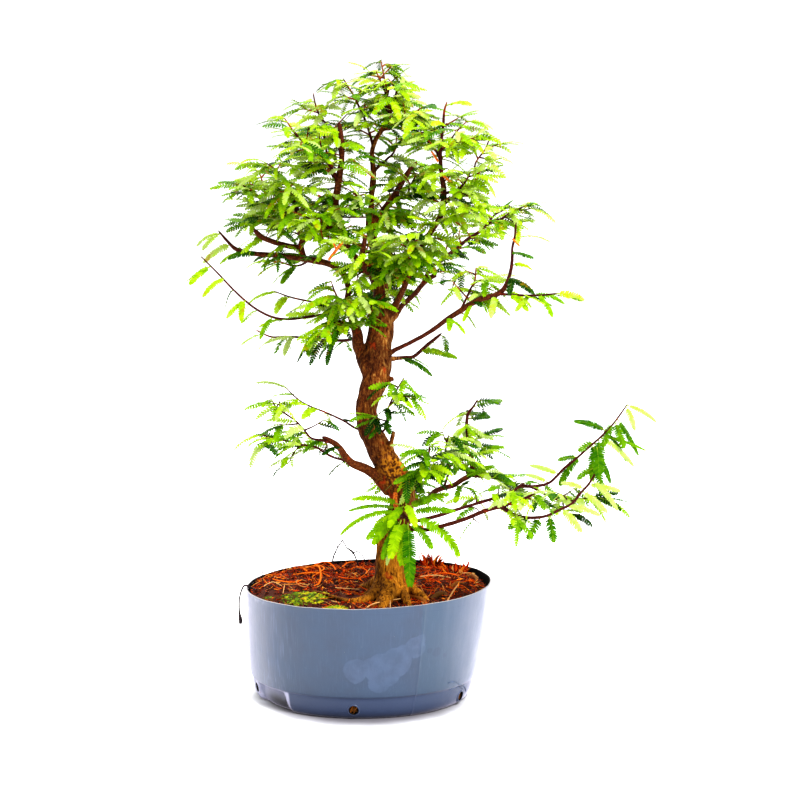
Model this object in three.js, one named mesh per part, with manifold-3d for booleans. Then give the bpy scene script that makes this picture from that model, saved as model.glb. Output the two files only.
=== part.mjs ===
// A calliandra pre-bonsai in a cut-down nursery pot: a curved trunk with pruned limbs and leafy shoots.
// Millimetres, +Z up. The origin is the middle of the pot's flat underside, and -Y is the front.
import * as THREE from 'three';
import { mergeVertices } from 'three/addons/utils/BufferGeometryUtils.js';
import Module from 'manifold-3d';

const wasm = await Module();
wasm.setup();

// Pot: the outside as radius and height from the foot to the rim, with a ledge where the band ends
const LEDGE_HEIGHT = 20;
const POT_HEIGHT = 101.4;
const POT_OUTSIDE = [
  [90, 0], [93.5, 2.6], [96.6, 8], [98.4, 16], [99.2, LEDGE_HEIGHT - 0.7], [100.6, LEDGE_HEIGHT + 0.7],
  [103, 34], [110, POT_HEIGHT],
];
const WALL = 1.6;
const RIM_SLOPE = 0.0287;
const POT_LEAN = 2.6;
const POT_SIDES = 48;

// The recesses in the pot's lower wall, with bearings in degrees from the front, positive to the right
const RECESS_DEPTH = 3;
const RECESS_WIDTH = 52;
const RECESS_EDGE = 8;
const RECESS_BEARINGS = [-77, 103];

const DRAIN_COUNT = 5;
const DRAIN_FIRST_BEARING = -5;
const DRAIN_HEIGHT = 9;
const DRAIN_RADIUS = 4.3;
const DRAIN_WALL_RADIUS = 96.8;
const DRAIN_TILT = 0.22;
const BOSS_RADIUS = 7;
const BOSS_RISE = 1.2;

// Soil: heights of its top at the wall and around the trunk
const SOIL_GAP = 0.5;
const SOIL_EDGE = 93.5;
const SOIL_MIDDLE = 98.5;
const SOIL_SLOPE = -0.012;
const SOIL_BUMP = 0.8;

// What a piece keeps clear of its neighbours
const CLEARANCE = 0.35;

// Leaves lean away from the crown's middle
const CROWN_MIDDLE = { x: 15, y: -5 };
const CROWN_REACH = 70;
const LEAF_THICKNESS = 1;

// A branch that starts thicker than this is drawn with the sides of a limb
const LIMB_RADIUS = 2;
const LIMB_SIDES = 6;
const TWIG_SIDES = 4;
const TRUNK_SIDES = 10;

const COLOURS = {
  pot: 0x5f7897,
  soil: 0x3a1a0c,
  moss: 0x9ab51e,
  coir: 0x9a2f12,
  stalk: 0x8d8378,
  bark: 0x5e3216,
  twig: 0x4b2a1c,
  leaf: 0x74b81a,
};

// Each point of a route is x, y, z and the radius there. A branch's leaves run from one share of its
// length to another. Their length is a blade's, and hang goes from 0, level, to 1, hanging down.
const TRUNK = [
  [23, -40, 83, 19], [23, -40, 98, 18.5], [23, -40, 110, 16.5], [23, -40, 122, 14.8], [23, -39, 139, 14],
  [26, -37, 155, 13], [30, -34, 169, 12.3], [33, -31, 181, 11.8], [32, -29, 192, 12.8],
  [28, -28, 201, 13.6], [23, -28, 210, 12.6], [18, -29, 219, 12], [13, -30, 228, 12],
  [9, -31, 237, 11.2], [4, -31, 246, 10.4], [2, -30, 256, 10], [1, -28, 265, 10], [3, -26, 274, 10.6],
  [6, -24, 282, 11.8], [9, -21, 290, 12.4], [11, -18, 300, 13], [11, -15, 310, 13], [12, -12, 321, 12.4],
  [14, -9, 331, 12], [14, -6, 342, 11.2], [13, -4, 352, 9.6], [14, -2, 364, 7.6], [14, 0, 377, 6.8],
  [12, 2, 389, 6.2], [10, 4, 401, 5.6], [6, 6, 414, 5], [4, 7, 428, 4.2], [5, 8, 440, 3.4],
  [6, 8, 452, 3], [7, 8, 465, 2.9], [7, 8, 476, 2.7], [6, 9, 487, 2.6], [8, 9, 498, 2.5],
  [13, 9, 507, 2.7], [19, 10, 517, 2.7], [21, 11, 529, 2.3],
];

const BRANCHES = [
  {
    node: 'limb_left_low',
    leaves: { count: 3, from: 0.62, to: 0.98, length: 26, hang: 0.5 },
    route: [
      [23, -28, 197, 7], [15, -32, 202, 5.5], [5, -38, 210, 4.6], [-3, -44, 215, 4.2],
      [-11, -49, 219, 3.6], [-17, -53, 226, 3.2], [-23, -56, 235, 2.8], [-29, -59, 240, 2.5],
      [-36, -62, 244, 2.2],
    ],
  },
  {
    node: 'limb_left_upper',
    leaves: { count: 9, from: 0.5, to: 0.99, length: 27, hang: 0.35 },
    route: [
      [7, -17, 300, 7.5], [0, -14, 308, 6.4], [-6, -12, 319, 5.6], [-7, -10, 330, 4.8],
      [-12, -6, 343, 3.4], [-16, -2, 357, 2.8], [-15, 2, 369, 2.7], [-20, 6, 382, 2.8],
      [-32, 10, 390, 2.9], [-46, 14, 393, 3], [-59, 17, 395, 2.9], [-77, 21, 397, 2.5],
      [-96, 24, 398, 2.3], [-110, 26, 400, 2.2], [-118, 27, 403, 1.8], [-125, 28, 410, 1.4],
      [-132, 29, 418, 1],
    ],
  },
  {
    node: 'limb_left_crown',
    leaves: { count: 9, from: 0.4, to: 0.99, length: 29, hang: 0.12 },
    route: [
      [-55, 16, 393, 3.2], [-58, 14, 405, 3], [-56, 11, 413, 2.8], [-59, 8, 421, 2.7],
      [-64, 4, 428, 2.4], [-70, 0, 435, 2.2], [-77, -4, 439, 1.9], [-84, -8, 444, 1.7],
      [-91, -12, 449, 1.5], [-98, -17, 455, 1.3], [-108, -22, 462, 1.1],
    ],
  },
  {
    node: 'limb_left_crown',
    leaves: { count: 2, from: 0.3, to: 0.7, length: 25, hang: 0.6 },
    route: [
      [-58, 14, 405, 2.5], [-66, 8, 406, 2.5], [-76, 2, 409, 2.4], [-84, -4, 412, 2.4],
      [-90, -9, 415, 2.4], [-95, -13, 419, 2.3], [-97, -16, 422, 2.2],
    ],
  },
  {
    node: 'limb_upper_left',
    leaves: { count: 9, from: 0.35, to: 0.95, length: 30, hang: 0.2 },
    route: [
      [10, 2, 391, 4.2], [1, -2, 391, 3.6], [-7, -6, 395, 3.3], [-13, -11, 403, 3.1], [-18, -16, 415, 3],
      [-23, -20, 430, 3.2], [-26, -24, 445, 3.4], [-24, -27, 458, 3.2], [-22, -29, 471, 3],
      [-20, -31, 484, 2.5], [-20, -32, 500, 2.4], [-22, -33, 516, 2.3],
    ],
  },
  {
    node: 'limb_upper_left',
    leaves: { count: 3, from: 0.3, to: 0.9, length: 29, hang: 0.25 },
    route: [
      [-17, -14, 411, 2.3], [-21, -20, 416, 2.2], [-25, -25, 423, 2.1], [-30, -30, 426, 2],
      [-34, -35, 427, 1.9],
    ],
  },
  {
    node: 'limb_upper_right',
    leaves: { count: 6, from: 0.3, to: 0.98, length: 29, hang: 0.15 },
    route: [
      [5, 6, 419, 3.4], [10, 11, 430, 3.2], [18, 17, 440, 3.2], [25, 23, 449, 3.1], [31, 29, 459, 2.6],
      [35, 33, 466, 2.5], [40, 37, 473, 2.3], [45, 40, 479, 2.1],
    ],
  },
  {
    node: 'limb_right_crown',
    leaves: { count: 15, from: 0.4, to: 0.99, length: 29, hang: 0.15 },
    route: [
      [18, -6, 345, 3.4], [26, -12, 354, 3], [30, -18, 362, 2.8], [34, -23, 371, 2.7],
      [38, -28, 381, 2.6], [42, -33, 393, 2.5], [47, -38, 404, 2.4], [53, -43, 415, 2.4],
      [60, -47, 426, 2.5], [66, -50, 436, 2.6], [68, -52, 445, 2.7], [69, -54, 459, 2.5],
      [67, -55, 472, 2], [66, -56, 484, 1.7], [66, -57, 496, 1.5], [68, -58, 513, 1.2],
      [69, -59, 527, 1], [71, -60, 534, 0.9],
    ],
  },
  {
    node: 'limb_right_upper',
    route: [
      [19, -4, 340, 2.9], [27, 4, 345, 2.6], [32, 10, 352, 2.4], [38, 16, 357, 2.4], [45, 22, 363, 2.3],
      [50, 28, 369, 2.3], [57, 34, 375, 2.3], [63, 38, 378, 2.2],
    ],
  },
  {
    node: 'limb_right_upper',
    leaves: { count: 11, from: 0.3, to: 0.98, length: 30, hang: 0.12 },
    route: [
      [48, 26, 366, 1.8], [53, 31, 374, 1.7], [57, 36, 382, 1.7], [63, 41, 388, 1.8], [68, 45, 390, 1.8],
      [74, 49, 395, 1.8], [83, 53, 401, 1.7], [91, 57, 408, 1.6], [99, 60, 413, 1.5],
      [107, 63, 418, 1.4], [112, 66, 424, 1.1], [118, 69, 431, 1], [126, 72, 435, 0.9],
    ],
  },
  {
    node: 'limb_right_mid',
    leaves: { count: 11, from: 0.4, to: 0.99, length: 28, hang: 0.35 },
    route: [
      [15, -15, 307, 2.6], [24, -22, 315, 2.1], [33, -27, 320, 1.9], [42, -32, 325, 1.8],
      [52, -37, 331, 1.9], [62, -42, 338, 2], [72, -47, 346, 2.2], [82, -51, 353, 2.4],
      [92, -55, 360, 2.5], [102, -58, 365, 2.5], [112, -61, 368, 2.4], [120, -63, 373, 2.2],
      [124, -64, 381, 1.7], [127, -65, 391, 1.5], [128, -66, 402, 1.3], [128, -66, 410, 1.1],
      [130, -67, 420, 1], [131, -67, 431, 0.8],
    ],
  },
  {
    node: 'limb_right_second',
    leaves: { count: 5, from: 0.3, to: 0.99, length: 30, hang: 0.6 },
    route: [
      [15, -10, 306, 2.3], [25, 2, 306, 2], [35, 10, 306, 1.8], [43, 16, 306, 1.7], [50, 21, 311, 1.7],
      [56, 25, 316, 1.6], [63, 29, 321, 1.5], [68, 32, 325, 1.3],
    ],
  },
  {
    node: 'limb_low_right_a',
    leaves: { count: 3, from: 0.7, to: 0.99, length: 27, hang: 0.6 },
    route: [
      [29, -40, 160, 2.6], [42, -52, 161, 2.2], [54, -62, 162, 1.9], [67, -72, 167, 1.8],
      [81, -82, 173, 1.8], [93, -90, 179, 1.8], [104, -97, 185, 1.8], [117, -104, 190, 1.7],
      [127, -109, 194, 1.5], [136, -113, 198, 1.3], [145, -117, 203, 1.1],
    ],
  },
  {
    node: 'limb_low_right_b',
    leaves: { count: 7, from: 0.62, to: 0.99, length: 30, hang: 0.2 },
    route: [
      [31, -34, 166, 2.3], [42, -30, 164, 2], [53, -26, 165, 1.8], [67, -22, 168, 1.7],
      [78, -18, 171, 1.6], [90, -14, 174, 1.5], [102, -10, 177, 1.5], [114, -6, 180, 1.5],
      [125, -2, 183, 1.4], [135, 2, 187, 1.4], [142, 5, 192, 1.3],
    ],
  },
  {
    node: 'limb_low_right_c',
    leaves: { count: 14, from: 0.5, to: 0.99, length: 29, hang: 0.2 },
    route: [
      [35, -29, 182, 3.6], [44, -18, 179, 3.1], [53, -8, 178, 2.8], [59, -1, 182, 2.6],
      [63, 5, 185, 2.5], [71, 12, 187, 2.4], [80, 20, 188, 2.4], [88, 27, 192, 2.4], [96, 33, 196, 2.5],
      [97, 36, 204, 2.2], [96, 38, 212, 2], [91, 40, 220, 1.8], [93, 42, 230, 1.8], [92, 44, 237, 1.8],
      [93, 46, 249, 1.4], [98, 48, 256, 1.1], [102, 50, 262, 0.9],
    ],
  },
  {
    node: 'limb_back_low',
    leaves: { count: 7, from: 0.4, to: 0.99, length: 28, hang: 0.25 },
    route: [
      [29, -28, 180, 3.4], [31, -10, 181, 3], [33, 8, 184, 2.6], [35, 26, 186, 2.3], [35, 44, 189, 1.9],
      [33, 60, 192, 1.5],
    ],
  },
  {
    node: 'limb_back_high',
    leaves: { count: 11, from: 0.3, to: 0.99, length: 29, hang: 0.2 },
    route: [
      [13, -2, 354, 3.2], [16, 14, 358, 2.8], [18, 30, 363, 2.5], [20, 46, 369, 2.3], [22, 62, 377, 2],
      [23, 76, 385, 1.8], [22, 88, 394, 1.4],
    ],
  },
  {
    node: 'limb_front_high',
    leaves: { count: 8, from: 0.35, to: 0.92, length: 30, hang: 0.15 },
    route: [
      [11, 0, 373, 3.1], [6, -16, 381, 2.7], [1, -32, 388, 2.5], [-2, -48, 396, 2.4],
      [-2, -62, 405, 2.3], [0, -74, 413, 2.2], [1, -84, 421, 2.1],
    ],
  },
  {
    node: 'shoot_left_far',
    leaves: { count: 9, from: 0.2, to: 0.93, length: 27, hang: 0.55 },
    route: [
      [-14, -4, 348, 1.6], [-23, -10, 348, 1.5], [-32, -16, 348, 1.4], [-52, -26, 346, 1.3],
      [-68, -34, 345, 1.2], [-82, -41, 348, 1.1], [-97, -48, 357, 1], [-112, -55, 371, 0.9],
      [-127, -62, 388, 0.8], [-140, -68, 402, 0.7],
    ],
  },
  {
    node: 'shoot_left_mid',
    leaves: { count: 9, from: 0.12, to: 0.93, length: 26, hang: 0.6 },
    route: [
      [-7, -10, 326, 1.5], [-17, -2, 323, 1.4], [-31, 6, 322, 1.3], [-46, 14, 322, 1.2],
      [-60, 22, 323, 1.1], [-73, 29, 323, 1], [-86, 35, 322, 0.9], [-99, 41, 327, 0.8],
    ],
  },
  {
    node: 'shoot_left_small',
    leaves: { count: 5, from: 0.3, to: 0.98, length: 28, hang: 0.45 },
    route: [
      [-16, -3, 354, 1.3], [-26, 4, 347, 1.2], [-36, 12, 348, 1.1], [-43, 17, 352, 1], [-48, 21, 355, 1],
      [-60, 27, 357, 0.9], [-70, 32, 359, 0.8], [-82, 37, 363, 0.7],
    ],
  },
  {
    node: 'shoot_left_under',
    leaves: { count: 6, from: 0.15, to: 0.99, length: 30, hang: 0.4 },
    route: [
      [-51, 15, 393, 1.2], [-59, 26, 388, 1], [-68, 36, 387, 0.9], [-77, 46, 389, 0.8],
      [-86, 56, 389, 0.7],
    ],
  },
  {
    node: 'shoot_crown_left_a',
    leaves: { count: 7, from: 0.25, to: 0.99, length: 31, hang: 0.12 },
    route: [
      [-67, 2, 431, 1.4], [-75, 14, 428, 1.2], [-84, 26, 427, 1.1], [-92, 38, 426, 0.9],
      [-99, 48, 423, 0.8],
    ],
  },
  {
    node: 'shoot_crown_left_b',
    leaves: { count: 9, from: 0.25, to: 0.99, length: 30, hang: 0.15 },
    route: [
      [-57, 10, 415, 1.6], [-60, 18, 426, 1.5], [-61, 26, 438, 1.3], [-61, 34, 448, 1.1],
      [-62, 40, 459, 0.9],
    ],
  },
  {
    node: 'shoot_crown_left_c',
    leaves: { count: 10, from: 0.25, to: 0.99, length: 29, hang: 0.15 },
    route: [
      [-60, 8, 422, 1.6], [-61, -6, 436, 1.5], [-62, -20, 449, 1.3], [-67, -32, 461, 1.1],
      [-75, -42, 474, 0.9], [-84, -50, 482, 0.7],
    ],
  },
  {
    node: 'limb_left_crown',
    leaves: { count: 5, from: 0.2, to: 0.99, length: 28, hang: 0.1 },
    route: [
      [-89, -10, 448, 1.1], [-88, -2, 455, 0.9], [-91, 6, 463, 0.8], [-95, 14, 473, 0.6],
    ],
  },
  {
    node: 'shoot_top_left_a',
    leaves: { count: 9, from: 0.25, to: 0.98, length: 29, hang: 0.15 },
    route: [
      [-23, -27, 465, 1.6], [-28, -38, 476, 1.5], [-35, -48, 487, 1.3], [-46, -58, 496, 1.2],
      [-55, -66, 504, 1.1], [-61, -72, 511, 1], [-65, -76, 514, 0.8],
    ],
  },
  {
    node: 'shoot_top_left_b',
    leaves: { count: 8, from: 0.2, to: 0.9, length: 28, hang: 0.12 },
    route: [
      [-20, -30, 483, 1.5], [-22, -22, 493, 1.3], [-24, -16, 500, 1.2], [-30, -9, 507, 1.1],
      [-35, -2, 516, 1], [-40, 4, 522, 0.9], [-44, 10, 532, 0.8], [-46, 15, 541, 0.6],
    ],
  },
  {
    node: 'shoot_top_left_c',
    leaves: { count: 8, from: 0.2, to: 0.97, length: 28, hang: 0.15 },
    route: [
      [-23, -27, 462, 1.3], [-28, -20, 470, 1.2], [-32, -12, 480, 1.1], [-34, -4, 491, 1],
      [-36, 4, 503, 0.8], [-37, 10, 514, 0.7],
    ],
  },
  {
    node: 'shoot_top_mid_left',
    leaves: { count: 8, from: 0.15, to: 0.99, length: 28, hang: 0.12 },
    route: [
      [7, 9, 495, 1.4], [4, 2, 507, 1.2], [0, -5, 519, 1.1], [-4, -11, 528, 1], [-9, -17, 539, 0.9],
      [-14, -21, 547, 0.8], [-18, -25, 554, 0.7],
    ],
  },
  {
    node: 'shoot_leader',
    leaves: { count: 5, from: 0.1, to: 0.95, length: 28, hang: 0.15 },
    route: [
      [21, 11, 527, 1.9], [20, 11, 534, 1.4], [18, 12, 543, 1.1], [14, 12, 552, 0.9], [10, 12, 561, 0.7],
    ],
  },
  {
    node: 'shoot_leader_back',
    leaves: { count: 5, from: 0.2, to: 0.99, length: 27, hang: 0.1 },
    route: [
      [20, 10, 522, 1.5], [20, 17, 532, 1.1], [19, 22, 544, 0.9], [17, 26, 555, 0.8], [14, 30, 570, 0.6],
    ],
  },
  {
    node: 'shoot_top_right_a',
    leaves: { count: 6, from: 0.4, to: 0.99, length: 30, hang: 0.2 },
    route: [
      [20, 10, 520, 1.5], [24, 2, 530, 1.3], [27, -4, 540, 1.1], [29, -9, 549, 0.9],
    ],
  },
  {
    node: 'shoot_top_right_b',
    leaves: { count: 8, from: 0.25, to: 0.97, length: 29, hang: 0.25 },
    route: [
      [16, 9, 511, 1.9], [23, 0, 512, 1.6], [29, -9, 516, 1.3], [36, -17, 520, 1.1], [42, -24, 524, 0.9],
      [50, -31, 530, 0.7],
    ],
  },
  {
    node: 'shoot_top_right_c',
    leaves: { count: 6, from: 0.3, to: 0.99, length: 31, hang: 0.1 },
    route: [
      [18, 10, 515, 1.7], [25, 18, 516, 1.4], [28, 25, 523, 1.2], [30, 31, 530, 1],
    ],
  },
  {
    node: 'shoot_top_right_d',
    leaves: { count: 6, from: 0.25, to: 0.97, length: 28, hang: 0.1 },
    route: [
      [6, 8, 472, 1.5], [13, 16, 478, 1.3], [20, 23, 484, 1.1], [26, 29, 490, 0.9], [28, 35, 502, 0.7],
    ],
  },
  {
    node: 'shoot_crown_right_a',
    leaves: { count: 7, from: 0.25, to: 0.97, length: 28, hang: 0.1 },
    route: [
      [66, -56, 485, 1.5], [63, -50, 492, 1.3], [57, -43, 498, 1.1], [54, -37, 505, 0.9],
      [53, -31, 516, 0.7],
    ],
  },
  {
    node: 'shoot_crown_right_b',
    leaves: { count: 9, from: 0.25, to: 0.97, length: 29, hang: 0.15 },
    route: [
      [69, -54, 456, 1.5], [76, -46, 458, 1.3], [83, -39, 460, 1.2], [90, -32, 461, 1.1],
      [99, -24, 466, 1], [97, -17, 480, 0.8], [106, -11, 493, 0.7], [111, -6, 505, 0.6],
    ],
  },
  {
    node: 'shoot_crown_right_c',
    leaves: { count: 8, from: 0.3, to: 0.99, length: 29, hang: 0.15 },
    route: [
      [69, -52, 447, 1.5], [76, -62, 453, 1.3], [81, -71, 460, 1.1], [87, -80, 468, 1],
      [91, -88, 476, 0.8],
    ],
  },
  {
    node: 'shoot_crown_right_d',
    leaves: { count: 8, from: 0.2, to: 0.99, length: 30, hang: 0.1 },
    route: [
      [61, -47, 428, 1.5], [69, -56, 433, 1.3], [78, -65, 436, 1.1], [89, -74, 441, 1],
      [96, -82, 445, 0.8],
    ],
  },
  {
    node: 'limb_right_crown',
    leaves: { count: 6, from: 0.15, to: 0.9, length: 28, hang: 0.15 },
    route: [
      [67, -57, 494, 1.1], [72, -66, 499, 1], [78, -74, 501, 0.9], [85, -81, 502, 0.8],
      [96, -88, 506, 0.6],
    ],
  },
  {
    node: 'shoot_crown_mid',
    leaves: { count: 9, from: 0.3, to: 0.99, length: 30, hang: 0.12 },
    route: [
      [27, 24, 451, 1.8], [33, 14, 449, 1.5], [37, 6, 450, 1.2], [40, -1, 460, 1], [45, -7, 470, 0.8],
    ],
  },
  {
    node: 'shoot_mid_front',
    leaves: { count: 10, from: 0.3, to: 0.99, length: 30, hang: 0.15 },
    route: [
      [41, -31, 387, 1.6], [43, -42, 396, 1.4], [41, -54, 406, 1.2], [38, -66, 414, 1.1],
      [38, -78, 423, 0.9],
    ],
  },
  {
    node: 'shoot_right_fork',
    leaves: { count: 7, from: 0.25, to: 0.9, length: 29, hang: 0.2 },
    route: [
      [110, 65, 422, 1.1], [118, 60, 426, 1], [126, 55, 429, 0.9], [134, 50, 435, 0.9],
      [140, 45, 438, 0.8], [146, 41, 442, 0.7],
    ],
  },
  {
    node: 'shoot_right_mid',
    leaves: { count: 7, from: 0.25, to: 0.99, length: 29, hang: 0.5 },
    route: [
      [116, -62, 370, 1.4], [126, -70, 370, 1.1], [141, -79, 370, 1], [154, -86, 371, 0.9],
      [165, -92, 373, 0.7],
    ],
  },
  {
    node: 'shoot_right_dark',
    leaves: { count: 7, from: 0.25, to: 0.99, length: 30, hang: 0.45 },
    route: [
      [84, -52, 355, 1.2], [89, -44, 364, 1.1], [93, -36, 372, 1], [97, -29, 379, 0.9],
      [98, -22, 389, 0.7],
    ],
  },
  {
    node: 'shoot_near_trunk',
    leaves: { count: 7, from: 0.3, to: 0.99, length: 28, hang: 0.3 },
    route: [
      [10, -31, 243, 1.3], [17, -38, 247, 1.1], [20, -45, 261, 1], [21, -50, 269, 0.9],
      [27, -57, 283, 0.8], [34, -63, 296, 0.6],
    ],
  },
  {
    node: 'shoot_left_arc',
    leaves: { count: 8, from: 0.3, to: 0.98, length: 28, hang: 0.3 },
    route: [
      [1, -30, 244, 1.3], [-9, -18, 246, 1.1], [-20, -6, 251, 1], [-36, 4, 257, 0.9],
      [-52, 14, 262, 0.8], [-63, 21, 268, 0.7], [-73, 28, 277, 0.6],
    ],
  },
  {
    node: 'shoot_low_left_a',
    leaves: { count: 9, from: 0.4, to: 0.99, length: 29, hang: 0.25 },
    route: [
      [-11, -49, 219, 1.4], [-21, -40, 221, 1.3], [-28, -34, 222, 1.2], [-36, -27, 225, 1.1],
      [-44, -20, 229, 1.1], [-58, -11, 230, 1], [-71, -3, 232, 0.9], [-84, 5, 233, 0.8],
      [-94, 11, 236, 0.7],
    ],
  },
  {
    node: 'shoot_low_left_b',
    leaves: { count: 7, from: 0.4, to: 0.98, length: 29, hang: 0.25 },
    route: [
      [-27, -58, 238, 1.3], [-37, -66, 242, 1.2], [-46, -73, 245, 1], [-52, -79, 253, 0.9],
      [-58, -85, 261, 0.8], [-65, -90, 267, 0.8], [-75, -95, 275, 0.7], [-79, -98, 282, 0.6],
    ],
  },
  {
    node: 'shoot_low_right_a',
    leaves: { count: 10, from: 0.25, to: 0.99, length: 29, hang: 0.6 },
    route: [
      [117, -104, 190, 1.7], [123, -101, 186, 1.6], [129, -98, 182, 1.6], [138, -94, 179, 1.5],
      [149, -90, 178, 1.5], [159, -85, 179, 1.4], [169, -81, 183, 1.4], [181, -76, 188, 1.3],
      [188, -72, 196, 1.2], [196, -68, 204, 1.1], [202, -64, 214, 1], [204, -60, 226, 0.8],
    ],
  },
  {
    node: 'shoot_low_right_b',
    leaves: { count: 10, from: 0.25, to: 0.99, length: 28, hang: 0.45 },
    route: [
      [140, 4, 190, 1.4], [152, 8, 189, 1.2], [165, 12, 191, 1.1], [173, 15, 197, 1], [180, 18, 204, 1],
      [192, 22, 213, 0.9], [204, 26, 223, 0.9], [215, 30, 232, 0.8], [226, 34, 243, 0.7],
      [238, 38, 259, 0.6],
    ],
  },
  {
    node: 'limb_low_right_c',
    leaves: { count: 7, from: 0.3, to: 0.99, length: 29, hang: 0.2 },
    route: [
      [95, 32, 195, 1.7], [104, 40, 193, 1.6], [114, 47, 191, 1.4], [121, 53, 188, 1.3],
      [129, 59, 189, 1],
    ],
  },
  {
    node: 'shoot_low_right_d',
    leaves: { count: 9, from: 0.3, to: 0.99, length: 29, hang: 0.25 },
    route: [
      [70, 11, 186, 1.5], [73, 4, 196, 1.3], [75, -3, 206, 1.2], [73, -10, 216, 1.1],
      [72, -17, 228, 0.9], [74, -24, 240, 0.8],
    ],
  },
  {
    node: 'shoot_right_trunk',
    leaves: { count: 8, from: 0.4, to: 0.99, length: 29, hang: 0.3 },
    route: [
      [35, -29, 188, 1.9], [43, -40, 196, 1.7], [48, -50, 206, 1.5], [51, -58, 215, 1.4],
      [55, -66, 226, 1.2], [57, -73, 238, 0.9],
    ],
  },
  {
    node: 'limb_low_right_b',
    leaves: { count: 7, from: 0.35, to: 0.99, length: 29, hang: 0.4 },
    route: [
      [141, 5, 191, 1.2], [149, -4, 190, 1], [158, -13, 187, 0.9], [168, -22, 183, 0.8],
      [178, -31, 182, 0.8], [189, -39, 185, 0.7], [201, -46, 189, 0.6],
    ],
  },
  {
    node: 'shoot_basal',
    leaves: { count: 9, from: 0.35, to: 0.99, length: 42, hang: 0.75 },
    route: [
      [30, -38, 169, 2.6], [33, -54, 174, 2.4], [35, -66, 174, 2.2], [38, -78, 174, 2],
    ],
  },
];

const ROOTS = [
  [[16, -44, 112, 9], [6, -56, 104, 8.5], [-4, -66, 99, 7.5], [-12, -68, 98, 5], [-22, -60, 99, 3],
    [-34, -46, 99, 2.4], [-48, -28, 99, 1.8]],
  [[30, -40, 114, 8.5], [42, -46, 107, 6.5], [51, -52, 101, 5], [57, -60, 96, 3.6]],
  [[22, -48, 110, 13], [20, -62, 103, 11], [18, -76, 96, 8], [16, -88, 91, 4]],
  [[30, -46, 108, 9], [38, -62, 101, 7], [44, -76, 94, 4.5]],
  [[26, -30, 110, 10], [34, -12, 101, 7], [44, 6, 95, 4]],
  [[16, -32, 110, 10], [4, -16, 101, 7], [-8, 0, 95, 4]],
];
// Stubs left where shoots were cut from the lower trunk
const CUT_STUBS = [
  [[18, -40, 140, 4.2], [11, -42, 145, 4], [7, -43, 148, 3.6]],
  [[28, -40, 170, 2.6], [26, -50, 177, 2.3], [25.5, -53, 187, 2.1]],
];

// Dead stalks that stand in the soil, one of them hanging over the rim
const STALKS = {
  dry_stalk_back: [[-34, 84, 95, 0.8], [-30, 84, 106, 0.8], [-26, 83, 112, 0.7], [-20, 83, 106, 0.7],
    [-14, 82, 101, 0.7], [-8, 82, 96, 0.7]],
  dry_stalk_left: [[-97, -8, 92, 0.7], [-103, -10, 98, 0.7], [-109, -12, 102, 0.7], [-114, -13, 99, 0.7],
    [-116, -13, 88, 0.7], [-116, -13, 76, 0.9], [-115, -14, 68, 1.1]],
};
// Pads of moss and upright tufts of coir, by the middle of their foot
const MOSS = {
  moss_front_left: { at: [-52, -44, 95.5], radii: [25, 24, 7] },
  moss_front: { at: [-24, -86, 94.5], radii: [11, 7, 6] },
  moss_left: { at: [-86, -40, 94.5], radii: [7, 12, 6] },
};
const COIR = {
  coir_tuft_back: { at: [59, 82, 94], radius: 9, height: 23 },
  coir_tuft_right: { at: [82, 50, 93], radius: 10, height: 19 },
};

// A closed geometry as a solid that can be joined and cut
function solidOf(geometry) {
  const bare = geometry.clone();
  bare.deleteAttribute('normal');
  bare.deleteAttribute('uv');
  const merged = mergeVertices(bare, 1e-4);
  return new wasm.Manifold(new wasm.Mesh({
    numProp: 3,
    vertProperties: merged.getAttribute('position').array,
    triVerts: new Uint32Array(merged.index.array),
  }));
}

function meshOf(name, solid, colour, roughness) {
  const { vertProperties, triVerts } = solid.getMesh();
  const geometry = new THREE.BufferGeometry();
  geometry.setAttribute('position', new THREE.BufferAttribute(vertProperties, 3));
  geometry.setIndex(new THREE.BufferAttribute(triVerts, 1));
  geometry.computeVertexNormals();
  const material = new THREE.MeshStandardMaterial({ color: colour, roughness, metalness: 0 });
  const mesh = new THREE.Mesh(geometry, material);
  mesh.name = name;
  return mesh;
}

function union(solids) {
  return solids.reduce((whole, next) => whole.add(next));
}

function largestPiece(solid) {
  return solid.decompose().reduce((best, piece) => (piece.volume() > best.volume() ? piece : best));
}

function boxesMeet(a, b) {
  const first = a.boundingBox();
  const second = b.boundingBox();
  return [0, 1, 2].every((i) => first.min[i] <= second.max[i] && second.min[i] <= first.max[i]);
}

function touches(solid, others) {
  return others.some((other) => boxesMeet(solid, other) && !solid.intersect(other).isEmpty());
}

function cutBy(solid, others) {
  return others.reduce((left, other) => (boxesMeet(left, other) ? left.subtract(other) : left), solid);
}

// A bearing is in degrees from the front, positive to the right
function bearingDirection(bearing) {
  const angle = THREE.MathUtils.degToRad(bearing);
  return new THREE.Vector3(Math.sin(angle), -Math.cos(angle), 0);
}

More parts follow.
